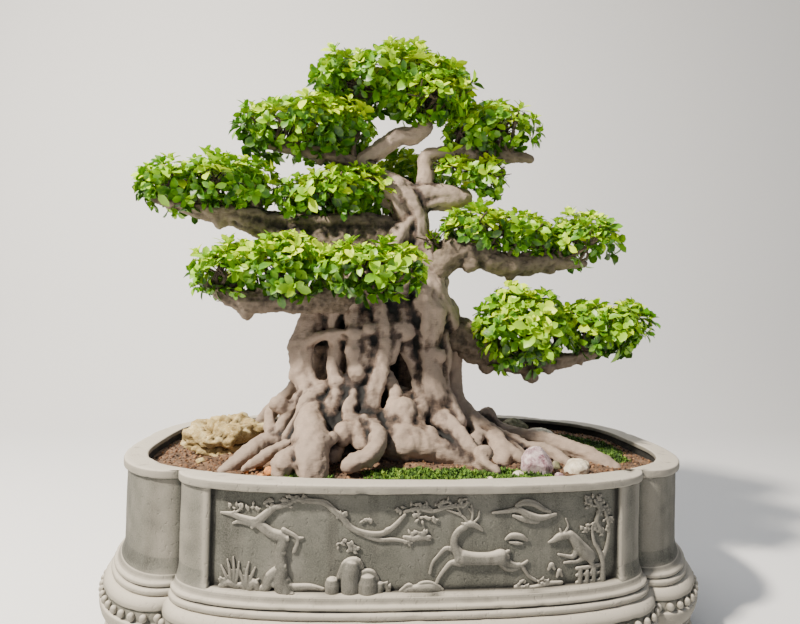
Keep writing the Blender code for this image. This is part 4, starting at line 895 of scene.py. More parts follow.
branchRoutes = {
    "branch_lower_left": [[(-134, -50, 368, 37), (-204, -90, 362, 31), (-263, -110, 352, 26), (-316, -120, 350, 23),
         (-375, -120, 344, 23), (-429, -120, 361, 14), (-469, -120, 383, 9)],
        [(-361, -120, 349, 18), (-381, -120, 326, 18)],
        [(-134, -60, 377, 24), (-97, -130, 383, 21), (-60, -170, 391, 13)]],
    "branch_mid_left": [[(-36, 0, 516, 51), (-102, 0, 524, 53), (-181, 0, 526, 50), (-263, 0, 534, 40),
         (-338, 0, 546, 35), (-398, 0, 564, 30), (-437, 0, 573, 25), (-486, 0, 576, 22), (-540, 0, 589, 17),
         (-600, 0, 599, 12), (-636, 0, 610, 8)],
        [(-393, 0, 579, 23), (-389, 0, 602, 20)],
        [(-467, 0, 571, 20), (-473, 0, 551, 17)],
        [(-169, 10, 544, 26), (-175, 20, 587, 21), (-197, 30, 619, 13)]],
    "branch_upper_left": [[(-100, 0, 700, 24), (-142, 0, 717, 20), (-198, 0, 737, 18), (-259, 0, 744, 15),
         (-324, 0, 754, 13), (-386, 0, 761, 9)]],
    "branch_apex": [[(25, 0, 815, 19), (38, 0, 845, 18), (16, 0, 879, 18), (-29, 0, 902, 15), (-100, 0, 904, 11),
         (-164, 0, 900, 9)],
        [(8, 0, 884, 13), (30, 20, 935, 10), (52, 30, 973, 8)]],
    "branch_upper_right": [[(115, 0, 765, 20), (152, 0, 746, 24), (188, 0, 742, 21), (230, 0, 760, 16),
         (273, 0, 759, 13), (316, 0, 753, 9)]],
    "branch_mid_right": [[(30, -20, 394, 38), (55, -30, 424, 35), (78, -40, 459, 35), (118, -40, 485, 35),
         (171, -40, 487, 33), (220, -40, 466, 30), (269, -40, 460, 28), (344, -40, 472, 25), (394, -40, 471, 18),
         (444, -40, 470, 10)]],
    "branch_lower_right": [[(93, 0, 279, 36), (132, 0, 267, 46), (178, -20, 240, 38), (220, -40, 227, 33),
         (263, -50, 203, 23), (315, -50, 204, 23), (367, -60, 210, 17), (424, -60, 221, 15), (491, -60, 242, 10)],
        [(299, -50, 198, 20), (310, -50, 173, 18)]],
    "branch_back_low": [[(-40, 40, 430, 40), (-50, 110, 440, 30), (-75, 180, 450, 24), (-100, 250, 455, 16),
         (-120, 300, 462, 10)]],
    "branch_back_high": [[(-20, 20, 640, 30), (0, 80, 660, 22), (10, 140, 680, 17), (10, 200, 690, 10)]],
}
branchKnobs = {
    "branch_mid_left": [(-386, 0, 592, 20), (-471, 0, 559, 22), (-150, -20, 500, 30), (-240, -20, 545, 22),
        (-300, -10, 525, 20), (-340, 0, 570, 18), (-520, 0, 600, 14)],
    "branch_lower_left": [(-381, -120, 321, 18), (-306, -130, 359, 16), (-230, -100, 345, 22), (-340, -120, 372, 17),
        (-420, -120, 345, 14)],
    "branch_lower_right": [(310, -50, 171, 15), (429, -60, 221, 15), (150, -20, 285, 28), (200, -30, 200, 22),
        (245, -40, 235, 20), (350, -60, 195, 15)],
    "branch_mid_right": [(100, -50, 505, 22), (150, -50, 465, 24), (205, -40, 500, 20), (300, -40, 485, 18),
        (255, -40, 440, 17), (360, -40, 455, 15)],
    "branch_upper_left": [(-170, 0, 742, 16), (-230, 0, 725, 13), (-300, 0, 762, 12)],
    "branch_apex": [(35, 0, 865, 18), (0, -10, 890, 17), (-70, 0, 915, 12)],
    "branch_upper_right": [(165, 0, 765, 18), (200, 0, 730, 15), (250, 0, 772, 12)],
}


wood = {"rise": 0.968, "trunkVoxel": 0.0049, "limbVoxel": 0.0034, "twigRadius": 0.0036, "twigsPerLump": 11, "seed": 11,
        "trunkLumps": (0.030, 0.0070), "trunkWrinkles": (0.011, 0.0040),           # (size, depth)
        "limbLumps": (0.024, 0.0080), "limbWrinkles": (0.009, 0.0034)}


def reliefTree(name):
    # moves a skin along its normals by two noises, one for lumps and one for wrinkles
    tree, start = startTree(name, ("Lump size", "Lump depth", "Wrinkle size", "Wrinkle depth", "Seed"))
    place = addNode(tree, "GeometryNodeInputPosition")
    moves = []
    for label in ("Lump", "Wrinkle"):
        size = addNode(tree, "ShaderNodeMath", {0: 1.0, 1: start[label + " size"]}, operation="DIVIDE")
        grain = addNode(tree, "ShaderNodeTexNoise", {"Vector": place, "Scale": size, "W": start["Seed"],
                                                     "Detail": 2.0, "Roughness": 0.55}, noise_dimensions="4D")
        centred = addNode(tree, "ShaderNodeMath", {0: grain, 1: 0.5}, operation="SUBTRACT")
        moves.append(addNode(tree, "ShaderNodeMath", {0: centred, 1: start[label + " depth"]},
                             operation="MULTIPLY"))
    both = addNode(tree, "ShaderNodeMath", {0: moves[0], 1: moves[1]}, operation="ADD")
    normal = addNode(tree, "GeometryNodeInputNormal")
    shift = addNode(tree, "ShaderNodeVectorMath", {0: normal, "Scale": both}, operation="SCALE")
    moved = addNode(tree, "GeometryNodeSetPosition", {"Geometry": start["Geometry"], "Offset": shift})
    return endTree(tree, moved, start["Finish"])


skinRelief = reliefTree("skinRelief")


def roughened(obj, lumps, wrinkles, seed, finish):
    # lumps and wrinkles: (size, depth)
    work = obj.modifiers.new("relief", "NODES")
    work.node_group = skinRelief
    setInputs(work, {"Lump size": lumps[0], "Lump depth": lumps[1] * 2, "Wrinkle size": wrinkles[0],
                     "Wrinkle depth": wrinkles[1] * 2, "Seed": float(seed), "Finish": finish})
    return frozen(obj)


def strandsOf(route, count, dice, share):
    # thinner cords along a limb, half sunk in it, as where roots have grown together
    cords = []
    knots = np.array(route, float)
    ahead = np.gradient(knots[:, :3], axis=0)
    ahead /= np.maximum(np.linalg.norm(ahead, axis=1), 1e-9)[:, None]
    for _ in range(count):
        start, twist = dice.uniform(0, 2 * math.pi), dice.uniform(-1.4, 1.4)
        cord = []
        for k, knot in enumerate(knots):
            side = np.cross(ahead[k], (0.2, 0.9, 0.37))
            side /= max(np.linalg.norm(side), 1e-9)
            up = np.cross(ahead[k], side)
            angle = start + twist * k / max(1, len(knots) - 1)
            radius = knot[3]
            spot = knot[:3] + (side * math.cos(angle) + up * math.sin(angle)) * radius * (1.0 - share * 0.5)
            cord.append((*spot, radius * share * dice.uniform(0.85, 1.15)))
        cords.append(cord)
    return cords


def lumpAt(x, y, z, radius, dice):
    # a burl: an uneven ball
    work = bmesh.new()
    bmesh.ops.create_icosphere(work, subdivisions=2, radius=radius)
    squash = [dice.uniform(0.85, 1.2) for _ in range(3)]
    for vert in work.verts:
        vert.co = Vector(vert.co[k] * squash[k] for k in range(3)) * (1 + 0.16 * noise.noise(vert.co / radius * 1.3))
        vert.co += Vector((x, y, z))
    return pointsAndFaces(work)


def treeHeight(z):
    return z / 1000 * wood["rise"] + pot["top"]


def lifted(route):
    return [(x / 1000, y / 1000, treeHeight(z), radius / 1000) for x, y, z, radius in route]


def makeTrunk():
    dice = random.Random(wood["seed"])
    parts = []
    for line in map(lifted, trunkRoutes.values()):
        thick = max(spot[3] for spot in line)
        parts.append(tubeRings(line, sides=14))
        count, share = (7, 0.30) if thick > 0.06 else (4, 0.42) if thick > 0.03 else (2, 0.5)
        parts += [tubeRings(cord, sides=9) for cord in strandsOf(line, count, dice, share)]
        for _ in range(2 if thick > 0.02 else 1):
            x, y, z, radius = dice.choice(line[1:-1] or line)
            turn = dice.uniform(0, 2 * math.pi)
            parts.append(lumpAt(x + radius * 0.7 * math.cos(turn), y + radius * 0.7 * math.sin(turn),
                                z + dice.uniform(-0.5, 0.5) * radius, radius * dice.uniform(0.4, 0.6), dice))
    parts += [lumpAt(*knob, dice) for knob in lifted(trunkKnobs)]
    trunk = fused(newObject("fusedTrunkAndRoots", joined("trunk", parts)), wood["trunkVoxel"], smooth=3)
    roughened(trunk, wood["trunkLumps"], wood["trunkWrinkles"], seed=3, finish=rootBark)
    markProud(trunk.data, rounds=14, reach=0.0042, broadRounds=110, broadReach=0.010)
    print("trunk triangles", len(trunk.data.polygons) * 2)
    return finished(trunk, rootBark, "bark", ["trunk_and_roots"])


def makeBranches():
    dice = random.Random(wood["seed"] + 1)
    for name, routes in branchRoutes.items():
        parts = []
        for number, line in enumerate(map(lifted, routes)):
            parts.append(tubeRings(line, sides=14))
            parts += [tubeRings(cord, sides=9) for cord in strandsOf(line, 1 if number else 3, dice, 0.48)]
            for x, y, z, radius in line[1:-1]:
                turn = dice.uniform(0, 2 * math.pi)
                parts.append(lumpAt(x + dice.uniform(-0.5, 0.5) * radius, y + radius * 0.7 * math.cos(turn),
                                    z + radius * 0.7 * math.sin(turn), radius * dice.uniform(0.4, 0.62), dice))
        parts += [lumpAt(*knob, dice) for knob in lifted(branchKnobs.get(name, []))]
        limb = fused(newObject(pieceName("limb", name), joined("limb", parts)), wood["limbVoxel"], smooth=2)
        roughened(limb, wood["limbLumps"], wood["limbWrinkles"], seed=5, finish=limbBark)
        markProud(limb.data, rounds=12, reach=0.0036, broadRounds=60, broadReach=0.010)
        finished(limb, limbBark, "bark", [name])


makeTrunk()
makeBranches()
print("wood done")


# foliage pads: the limb that bears each, and its lumps as (x, y, height above the rim, half length, half depth,
# half height) in millimetres
pads = {
    "leaves_lower_left": ("branch_lower_left", [(-400, -100, 420, 100, 110, 46), (-290, -110, 430, 110, 120, 56)]),
    "leaves_lower_front": ("branch_lower_left", [(-90, -190, 425, 110, 90, 44)]),
    "leaves_far_left": ("branch_mid_left", [(-580, 0, 638, 88, 100, 42), (-460, 0, 650, 110, 130, 47)]),
    "leaves_mid_left": ("branch_mid_left", [(-250, 20, 618, 90, 100, 38), (-160, 0, 636, 110, 120, 50)]),
    "leaves_upper_left": ("branch_upper_left", [(-330, 0, 794, 100, 110, 46), (-220, 0, 804, 120, 130, 58)]),
    "leaves_apex": ("branch_apex", [(-150, 0, 926, 95, 100, 56), (-40, 0, 942, 120, 130, 60),
        (50, -20, 912, 100, 110, 48), (50, -80, 862, 75, 70, 34)]),
    "leaves_upper_right": ("branch_upper_right", [(172, 0, 822, 80, 90, 45), (242, 0, 820, 70, 90, 48)]),
    "leaves_small_right": ("branch_upper_right", [(178, -10, 690, 65, 65, 36), (100, 0, 715, 36, 36, 26)]),
    "leaves_mid_right": ("branch_mid_right", [(170, -40, 550, 90, 90, 38), (280, -40, 538, 90, 90, 38),
        (53, -30, 515, 28, 28, 18)]),
    "leaves_far_right": ("branch_mid_right", [(430, -40, 530, 85, 90, 52)]),
    "leaves_low_right": ("branch_lower_right", [(280, -70, 296, 112, 110, 90)]),
    "leaves_low_far_right": ("branch_lower_right", [(490, -60, 298, 100, 100, 56)]),
    "leaves_back_low": ("branch_back_low", [(-100, 260, 500, 130, 100, 46)]),
    "leaves_back_high": ("branch_back_high", [(10, 180, 735, 110, 90, 47)]),
}
foliage = {"leafLength": 0.031, "leafWidth": 0.019, "leavesPerTuft": 7, "padShare": 0.90, "padRough": 0.16,
           "padLump": 0.05, "padVoxel": 0.009, "seed": 21, "scatter": {
               "Spacing": 0.0190, "Below": 0.55, "Lift": 0.019, "Sink": -0.022, "Upright": 0.55, "Lean": 0.45,
               "Size change": 0.28, "Tint low": 0.52, "Tint and painted light slope": 0.30, "Tint spread": 0.30}}


def leafBlade(length, width, curl, fold):
    # one blade along +x, narrow at its stalk and broadest past the middle, folded along its rib
    rows = ((0.0, 0.05), (0.18, 0.42), (0.48, 0.94), (0.78, 0.88), (1.0, 0.10))      # (along, share of the width)
    points = [(length * t, side * width / 2 * share, -curl * length * t * t + abs(side) * width / 2 * share * fold)
              for t, share in rows for side in (-1, 0, 1)]
    faces = [(a, a + 3, a + 4, a + 1) for r in range(len(rows) - 1) for a in (r * 3, r * 3 + 1)]
    return points, faces, [t for t, _ in rows for _ in range(3)]


def leafTuft(name, dice, count):
    # an upright rosette: long spread leaves outside, short upright ones inside
    points, faces, along, tone = [], [], [], []
    for k in range(count):
        inner = k / (count - 1)
        length = foliage["leafLength"] * (1.08 - 0.45 * inner) * dice.uniform(0.88, 1.12)
        blade, polys, t = leafBlade(length, foliage["leafWidth"] * (1.05 - 0.40 * inner) * dice.uniform(0.9, 1.1),
                                    dice.uniform(0.05, 0.30), dice.uniform(0.15, 0.45))
        turn = Matrix.Rotation(math.radians(137.5 * k) + dice.uniform(-0.3, 0.3), 4, "Z")
        rise = Matrix.Rotation(-math.radians(8 + 62 * inner + dice.uniform(-10, 10)), 4, "Y")
        roll = Matrix.Rotation(dice.uniform(-0.4, 0.4), 4, "X")
        start = Matrix.Translation((0.0025, 0, 0.006 * inner))
        base = len(points)
        points += [turn @ rise @ start @ roll @ Vector(p) for p in blade]
        faces += [tuple(base + i for i in poly) for poly in polys]
        along += t
        tone += [dice.random()] * len(blade)
    mesh = newMesh(name, points, faces)
    for label, values in (("along", along), ("leafTone", tone)):
        mesh.attributes.new(label, "FLOAT", "POINT").data.foreach_set("value", values)
    return newObject(name, mesh)


def scatterTree(name, units):
    # scatters units over a surface, thinner where it faces down, and stands each between its normal and upright
    tree, start = startTree(name, ("Spacing", "Below", "Lift", "Sink", "Upright", "Lean", "Unit size", "Size change",
                                   "Tint low", "Tint and painted light slope", "Tint spread"), ("Seed",))
    facing = addNode(tree, "ShaderNodeSeparateXYZ", {0: addNode(tree, "GeometryNodeInputNormal")}).outputs["Z"]
    keep = addNode(tree, "ShaderNodeMapRange", {"Value": facing, "From Min": -0.65, "From Max": 0.05,
                                                "To Min": start["Below"], "To Max": 1.0})
    spread = addNode(tree, "GeometryNodeDistributePointsOnFaces",
                     {"Mesh": start["Geometry"], "Distance Min": start["Spacing"], "Density Max": 60000.0,
                      "Density Factor": keep, "Seed": start["Seed"]}, distribute_method="POISSON")
    held = addNode(tree, "GeometryNodeCaptureAttribute", {"Geometry": spread})
    held.capture_items.new("VECTOR", "way")
    tree.links.new(spread.outputs["Normal"], held.inputs[1])
    way = held.outputs[1]
    deep = addNode(tree, "FunctionNodeRandomValue", {"Min": start["Sink"], "Max": start["Lift"], "Seed": 3},
                   data_type="FLOAT")
    shift = addNode(tree, "ShaderNodeVectorMath", {0: way, "Scale": deep}, operation="SCALE")
    moved = addNode(tree, "GeometryNodeSetPosition", {"Geometry": held, "Offset": shift})
    lean = addNode(tree, "FunctionNodeRandomValue", {"Min": (-1, -1, -0.3), "Max": (1, 1, 0.6), "Seed": 5},
                   data_type="FLOAT_VECTOR")
    leaned = addNode(tree, "ShaderNodeVectorMath", {0: lean, "Scale": start["Lean"]}, operation="SCALE")
    up = addNode(tree, "ShaderNodeCombineXYZ", {"Z": start["Upright"]})
    raised = addNode(tree, "ShaderNodeVectorMath", {0: way, 1: up}, operation="ADD")
    aim = addNode(tree, "ShaderNodeVectorMath", {0: raised, 1: leaned}, operation="ADD")
    stand = addNode(tree, "FunctionNodeAlignRotationToVector", {"Vector": aim}, axis="Z")
    angle = addNode(tree, "FunctionNodeRandomValue", {"Min": 0.0, "Max": 6.283, "Seed": 7}, data_type="FLOAT")
    spin = addNode(tree, "FunctionNodeAxisAngleToRotation", {"Axis": (0, 0, 1), "Angle": angle})
    turned = addNode(tree, "FunctionNodeRotateRotation", {"Rotation": stand, "Rotate By": spin},
                     rotation_space="LOCAL")
    chance = addNode(tree, "FunctionNodeRandomValue", {"Min": -1.0, "Max": 1.0, "Seed": 9}, data_type="FLOAT")
    grow = addNode(tree, "ShaderNodeMath", {0: chance, 1: start["Size change"], 2: start["Unit size"]},
                   operation="MULTIPLY_ADD")
    wayUp = addNode(tree, "ShaderNodeSeparateXYZ", {0: way}).outputs["Z"]
    # tint grows with how far the surface faces up: partly younger leaves on top, partly painted light on the tops and
    # painted shade underneath
    sloped = addNode(tree, "ShaderNodeMath", {0: wayUp, 1: start["Tint and painted light slope"], 2: start["Tint low"]},
                     operation="MULTIPLY_ADD")
    luck = addNode(tree, "FunctionNodeRandomValue", {"Min": -1.0, "Max": 1.0, "Seed": 13}, data_type="FLOAT")
    tint = addNode(tree, "ShaderNodeMath", {0: luck, 1: start["Tint spread"], 2: sloped}, operation="MULTIPLY_ADD")
    stored = addNode(tree, "GeometryNodeStoreNamedAttribute", {"Geometry": moved, "Name": "tint", "Value": tint},
                     data_type="FLOAT", domain="POINT")
    box = addNode(tree, "GeometryNodeCollectionInfo", {"Collection": units, "Separate Children": True,
                                                       "Reset Children": True})
    pick = addNode(tree, "FunctionNodeRandomValue", {"Min": 0, "Max": len(units.objects) - 1, "Seed": 15},
                   data_type="INT")
    put = addNode(tree, "GeometryNodeInstanceOnPoints",
                  {"Points": stored, "Instance": box, "Pick Instance": True, "Instance Index": pick,
                   "Rotation": turned, "Scale": grow})
    return endTree(tree, put, start["Finish"])


def unitBox(name, objects):
    box = bpy.data.collections.new(name)
    for unit in objects:
        for group in list(unit.users_collection):
            group.objects.unlink(unit)
        box.objects.link(unit)
    return box


def scattered(obj, tree, name, finish, seed, sizes):
    # runs a scatter tree on a surface and keeps only the scattered units
    work = obj.modifiers.new("scatter", "NODES")
    work.node_group = tree
    setInputs(work, {**sizes, "Unit size": 1.0, "Seed": seed, "Finish": finish})
    return frozen(obj, name)


def padSurface(lumps, seed):
    parts = []
    for x, y, z, a, b, c in lumps:
        centre = Vector((x / 1000, y / 1000, z / 1000))
        work = bmesh.new()
        bmesh.ops.create_icosphere(work, subdivisions=4, radius=1.0)
        for vert in work.verts:
            spot = Vector((vert.co.x * a, vert.co.y * b, vert.co.z * c)) / 1000 * foliage["padShare"]
            way = Vector((centre.x * 7 + seed, centre.y * 5, centre.z * 3))
            spot *= 1 + foliage["padRough"] * noise.noise((spot + way) / foliage["padLump"])
            vert.co = spot + Vector((centre.x, centre.y, treeHeight(z)))
        parts.append(pointsAndFaces(work))
    return fused(newObject("padSurface", joined("padSurface", parts)), foliage["padVoxel"], smooth=1)


def makeTwigs():
    # thin shoots from each limb up into its pad, each forking near its end
    dice = random.Random(wood["seed"] + 2)
    parts = []
    for pad, (limb, lumps) in pads.items():
        stations = []
        for route in branchRoutes[limb]:
            knots = np.array(lifted(route))
            for k in range(len(knots) - 1):
                stations += [knots[k] * (1 - t) + knots[k + 1] * t for t in (0.0, 0.25, 0.5, 0.75)]
        stations = np.array(stations)
        for x, y, z, a, b, c in lumps:
            for _ in range(wood["twigsPerLump"]):
                turn, reach = dice.uniform(0, 2 * math.pi), math.sqrt(dice.random()) * 0.82
                tip = np.array(((x + a * reach * math.cos(turn)) / 1000, (y + b * reach * math.sin(turn)) / 1000,
                                treeHeight(z) + c / 1000 * dice.uniform(-0.35, 0.45) * (1 - reach * 0.5)))
                near = np.argsort(np.linalg.norm(stations[:, :3] - tip, axis=1))[:4]
                root = stations[dice.choice(list(near))]
                start = root[:3] + np.array((0, 0, root[3] * 0.5))
                bend = (start + tip) / 2 + np.array([dice.uniform(-0.012, 0.012) for _ in range(3)])
                bend[2] -= 0.006
                thick = wood["twigRadius"] * dice.uniform(0.8, 1.5)
                parts.append(tubeRings([(*start, thick * 1.5), (*bend, thick), (*tip, thick * 0.6)], sides=6, most=6))
                for _ in range(3):
                    fork = bend * 0.35 + tip * 0.65
                    out = tip + np.array([dice.uniform(-0.035, 0.035), dice.uniform(-0.035, 0.035),
                                          dice.uniform(0.000, 0.030)])
                    parts.append(tubeRings([(*fork, thick * 0.7), (*((fork + out) / 2), thick * 0.5),
                                            (*out, thick * 0.35)], sides=5, most=6))
    twigs = newObject("leafShoots", joined("shoots", parts))
    markProud(twigs.data, rounds=1, reach=0.030)
    finished(twigs, limbBark, "bark")


def makeFoliage():
    dice = random.Random(foliage["seed"])
    tufts = unitBox("tufts", [leafTuft(f"tuft{k}", dice, foliage["leavesPerTuft"]) for k in range(4)])
    tree = scatterTree("leafScatter", tufts)
    count = 0
    for number, (pad, (_, lumps)) in enumerate(pads.items()):
        surface = padSurface(lumps, number * 1.7)
        scattered(surface, tree, pieceName("foliage", pad), leafSkin, 30 + number, foliage["scatter"])
        count += len(surface.data.polygons) * 2
        finished(surface, leafSkin, "leaf", [pad])
    removeUnits(tufts.objects)
    print("leaf triangles", count)


makeTwigs()
makeFoliage()
print("foliage done")


# ground: soil with clay crumbs, moss cushions, stones, and what lies under the soil
ground = {"edge": 0.028, "swell": 0.042, "rings": 74, "columns": 260, "low": 0.2139, "lumpSize": 0.045,
          "lumpDepth": 0.0044, "gritSize": 0.010, "gritDepth": 0.0026, "crumbRadius": 0.0034, "seed": 71,
          "crumbScatter": {"Spacing": 0.0098, "Below": 0.0, "Lift": 0.0020, "Sink": -0.0010, "Upright": 0.2,
                           "Lean": 1.0, "Size change": 0.55, "Tint low": 0.42, "Tint and painted light slope": 0.0, "Tint spread": 0.42},
          "mossScatter": {"Below": 0.0, "Lift": 0.0006, "Sink": -0.0012, "Upright": 0.9, "Lean": 0.5,
                          "Size change": 0.35, "Tint and painted light slope": 0.0, "Tint spread": 0.30}}
mossBeds = [   # name, centre x, y, half length, half depth, height, spacing of its blades, tint, node it replaces
    ("mossBedFront", 0.04, -0.276, 0.15, 0.046, 0.007, 0.0052, 0.58, "moss_front"),
    ("mossBedRight", 0.44, 0.03, 0.118, 0.14, 0.01, 0.0058, 0.38, "moss_right"),
    ("mossBedBackLeft", -0.342, 0.204, 0.096, 0.056, 0.0085, 0.0052, 0.36, "moss_back_left"),
    ("mossYellowStrip", -0.381, 0.026, 0.07, 0.022, 0.006, 0.005, 0.8),
    ("mossFrontRight", 0.212, -0.262, 0.08, 0.036, 0.0065, 0.0052, 0.55),
    ("mossBackRim", 0.08, 0.3, 0.2, 0.034, 0.0065, 0.0062, 0.28),
    ("mossUnderFork", -0.236, -0.285, 0.07, 0.022, 0.005, 0.0054, 0.48),
    ("mossRightRim", 0.486, -0.09, 0.052, 0.052, 0.006, 0.0054, 0.5),
]
stones = {   # node: name, finish, centre x, y, height over the soil, half sizes, turn, roughness, facets, pits
    "porous_rock": ("porousTufaRock", "tufa", -0.432, -0.06, 0.026, (0.084, 0.05, 0.058), 0.42, 0.56, 0.16, 0.019),
    "mossy_stone": ("mossyFieldStone", "grey", 0.33, 0.175, 0.016, (0.044, 0.034, 0.032), 0.2, 0.2, 0.12, 0.0),
    "flat_stone": ("flatFieldStone", "pale", 0.401, 0.146, 0.008, (0.042, 0.032, 0.02), -0.3, 0.14, 0.12, 0.0),
    "quartz_stone": ("roseQuartz", "quartz", 0.266, -0.238, 0.018, (0.036, 0.034, 0.042), 0.7, 0.16, 0.34, 0.0),
    "cream_stone": ("creamPebble", "cream", 0.36, -0.226, 0.008, (0.027, 0.023, 0.024), 0.1, 0.14, 0.16, 0.0),
}
looseStones = {   # small ones beside the roots: x, y, half size
    "orange": [(-0.3, -0.245, 0.016), (-0.332, -0.205, 0.011), (-0.275, -0.205, 0.009), (-0.262, -0.256, 0.01),
        (-0.352, -0.232, 0.008), (-0.316, -0.27, 0.01)],
    "cream": [(0.218, -0.262, 0.013), (0.398, -0.178, 0.013), (-0.395, 0.085, 0.01), (0.15, -0.292, 0.009),
        (-0.15, 0.27, 0.014)],
    "quartz": [(0.306, -0.262, 0.012)],
    "grey": [(0.326, -0.19, 0.014), (0.452, -0.112, 0.012), (-0.47, 0.03, 0.013), (0.285, 0.24, 0.016),
        (0.02, 0.285, 0.012)],
    "tufa": [(-0.52, -0.02, 0.012), (-0.33, -0.12, 0.013), (-0.465, -0.15, 0.012)],
    "pale": [(0.445, 0.105, 0.014)],
}


def soilHeight(x, y):
    # low at the rim and swelling under the trunk
    across = ((x + 0.06) / (pot["boreHalfLength"] * 0.55)) ** 2 + (y / (pot["boreHalfDepth"] * 0.55)) ** 2
    return pot["top"] - ground["edge"] + ground["swell"] * math.exp(-across)


def soilAt(x, y):
    # soilHeight with its lumps and grit
    spot = Vector((x, y, 0.3))
    return (soilHeight(x, y) + ground["lumpDepth"] * noise.noise(spot / ground["lumpSize"])
            + ground["gritDepth"] * noise.noise(spot / ground["gritSize"] + Vector((9, 4, 0))))


def soilRings(wider, count, columns):
    # rings of the soil's surface, from the bore's wall in to the middle
    turns = np.linspace(0, 2 * math.pi, columns, endpoint=False)
    bore = np.array([superPoint(pot["boreHalfLength"] + wider, pot["boreHalfDepth"] + wider, *pot["borePowers"], t)
                     for t in turns])
    return bore, [np.array([(x, y, soilAt(x, y)) for x, y in bore * (1 - k / count)]) for k in range(count)]


def makeSoil():
    bore, rings = soilRings(wider=0.0035, count=ground["rings"], columns=ground["columns"])
    under = [level(bore * 0.996, z) for z in (ground["low"], 0.30)]
    body = newObject("pottingSoil", skin("soilMesh", under + rings))
    body.data.vertices[-1].co.z = soilAt(0, 0)
    markProud(body.data, rounds=4, reach=0.0022)
    finished(body, soilEarth, "soil", ["soil"])


def crumbUnit(name, dice):
    # a baked clay crumb, unevenly squashed
    work = bmesh.new()
    bmesh.ops.create_icosphere(work, subdivisions=1, radius=ground["crumbRadius"])
    squash = [dice.uniform(0.6, 1.1) for _ in range(3)]
    for vert in work.verts:
        vert.co = Vector(vert.co[k] * squash[k] for k in range(3)) * dice.uniform(0.85, 1.15)
    return fromBmesh(name, work)


def mossUnit(name, dice):
    # a tiny upright cushion of pointed blades
    points, faces = [], []
    for k in range(7):
        turn, lean = 2 * math.pi * k / 7 + dice.uniform(-0.3, 0.3), dice.uniform(0.15, 1.0)
        tall, wide = dice.uniform(0.006, 0.0105), dice.uniform(0.0012, 0.0018)
        across = Vector((-math.sin(turn), math.cos(turn), 0)) * wide
        foot = Vector((math.cos(turn), math.sin(turn), 0)) * 0.0010
        tip = foot + Vector((math.cos(turn) * math.sin(lean), math.sin(turn) * math.sin(lean), math.cos(lean))) * tall
        middle = (foot + tip) / 2 + Vector((0, 0, 0.0012))
        base = len(points)
        points += [foot - across * 0.7, foot + across * 0.7, middle - across, middle + across, tip]
        faces += [(base, base + 1, base + 3, base + 2), (base + 2, base + 3, base + 4)]
    return newObject(name, newMesh(name, points, faces))


def mossPad(name, x, y, halfX, halfY, height):
    # a thin uneven mound that lies on the soil and fades out at a ragged edge
    count, rings = 72, 16
    points = []
    for r in range(rings + 1):
        share = r / rings
        for k in range(count):
            turn = 2 * math.pi * k / count
            c, s = math.cos(turn), math.sin(turn)
            ragged = 1 + 0.22 * noise.noise(Vector((c * 1.6 + x * 9, s * 1.6 + y * 9, 2.0)))
            ragged += 0.10 * noise.noise(Vector((c * 5 + x * 9, s * 5, 6.0)))
            px, py = x + halfX * share * ragged * c, y + halfY * share * ragged * s
            lift = height * math.sqrt(max(0.0, 1 - share ** 2.4)) * (1 + 0.5 * noise.noise(Vector((px, py, 0)) / 0.028))
            points.append((px, py, soilAt(px, py) + lift - 0.0030))
    points += [(px, py, pz - 0.012) for px, py, pz in points[rings * count:]]        # its underside, in the soil
    faces = [(r * count + k, (r + 1) * count + k, (r + 1) * count + (k + 1) % count, r * count + (k + 1) % count)
             for r in range(rings + 1) for k in range(count)]
    faces.append(tuple((rings + 1) * count + k for k in reversed(range(count))))
    return facedOut(newObject(name, newMesh(name, points, faces)), merge=True)


def stoneShape(name, x, y, height, halves, turn, rough, facets, pits, fine=5):
    # a natural stone: a ball pushed about by noises, cut by a few flat faces, and pitted where it is porous
    work = bmesh.new()
    bmesh.ops.create_icosphere(work, subdivisions=fine, radius=1.0)
    dice = random.Random(int(abs(x * 991) + abs(y * 577) + halves[0] * 4000))
    planes = []
    for _ in range(9):
        way = Vector([dice.uniform(-1, 1) for _ in range(3)])
        planes.append((way.normalized(), dice.uniform(0.70, 0.92)))
    seed = Vector((x * 31, y * 17, 3.0))
    for vert in work.verts:
        way = vert.co.normalized()
        reach = 1 + rough * noise.noise(way * 1.5 + seed) + rough * 0.45 * noise.noise(way * 4 + seed)
        reach += rough * 0.20 * noise.noise(way * 10 + seed)
        spot = way * reach
        for normal, far in planes:
            over = spot.dot(normal) - far
            if over > 0:
                spot -= normal * over * min(1.0, facets * 3)
        spot = Vector(spot[k] * halves[k] for k in range(3))
        if pits:
            for size, deep, wide in ((pits, 0.30, 0.46), (pits * 0.42, 0.11, 0.42)):
                hollow = noise.voronoi(spot / size + seed)[0][0]
                spot *= 1 - deep * max(0.0, wide - hollow) / wide
        vert.co = spot
    bmesh.ops.rotate(work, verts=work.verts, cent=(0, 0, 0), matrix=Matrix.Rotation(turn, 3, "Z"))
    bmesh.ops.translate(work, verts=work.verts, vec=(x, y, soilHeight(x, y) + height))
    return fromBmesh(name, work)


def pottedLayers():
    # the CAD's own solids under the soil, kept with real finishes
    for name, finish in (("drainage_gravel", packedPumice), ("drain_screen_left", drainMesh),
                         ("drain_screen_centre", drainMesh), ("drain_screen_right", drainMesh)):
        kept = frame["nodes"][name]
        kept.data.materials.clear()
        kept.data.materials.append(finish)


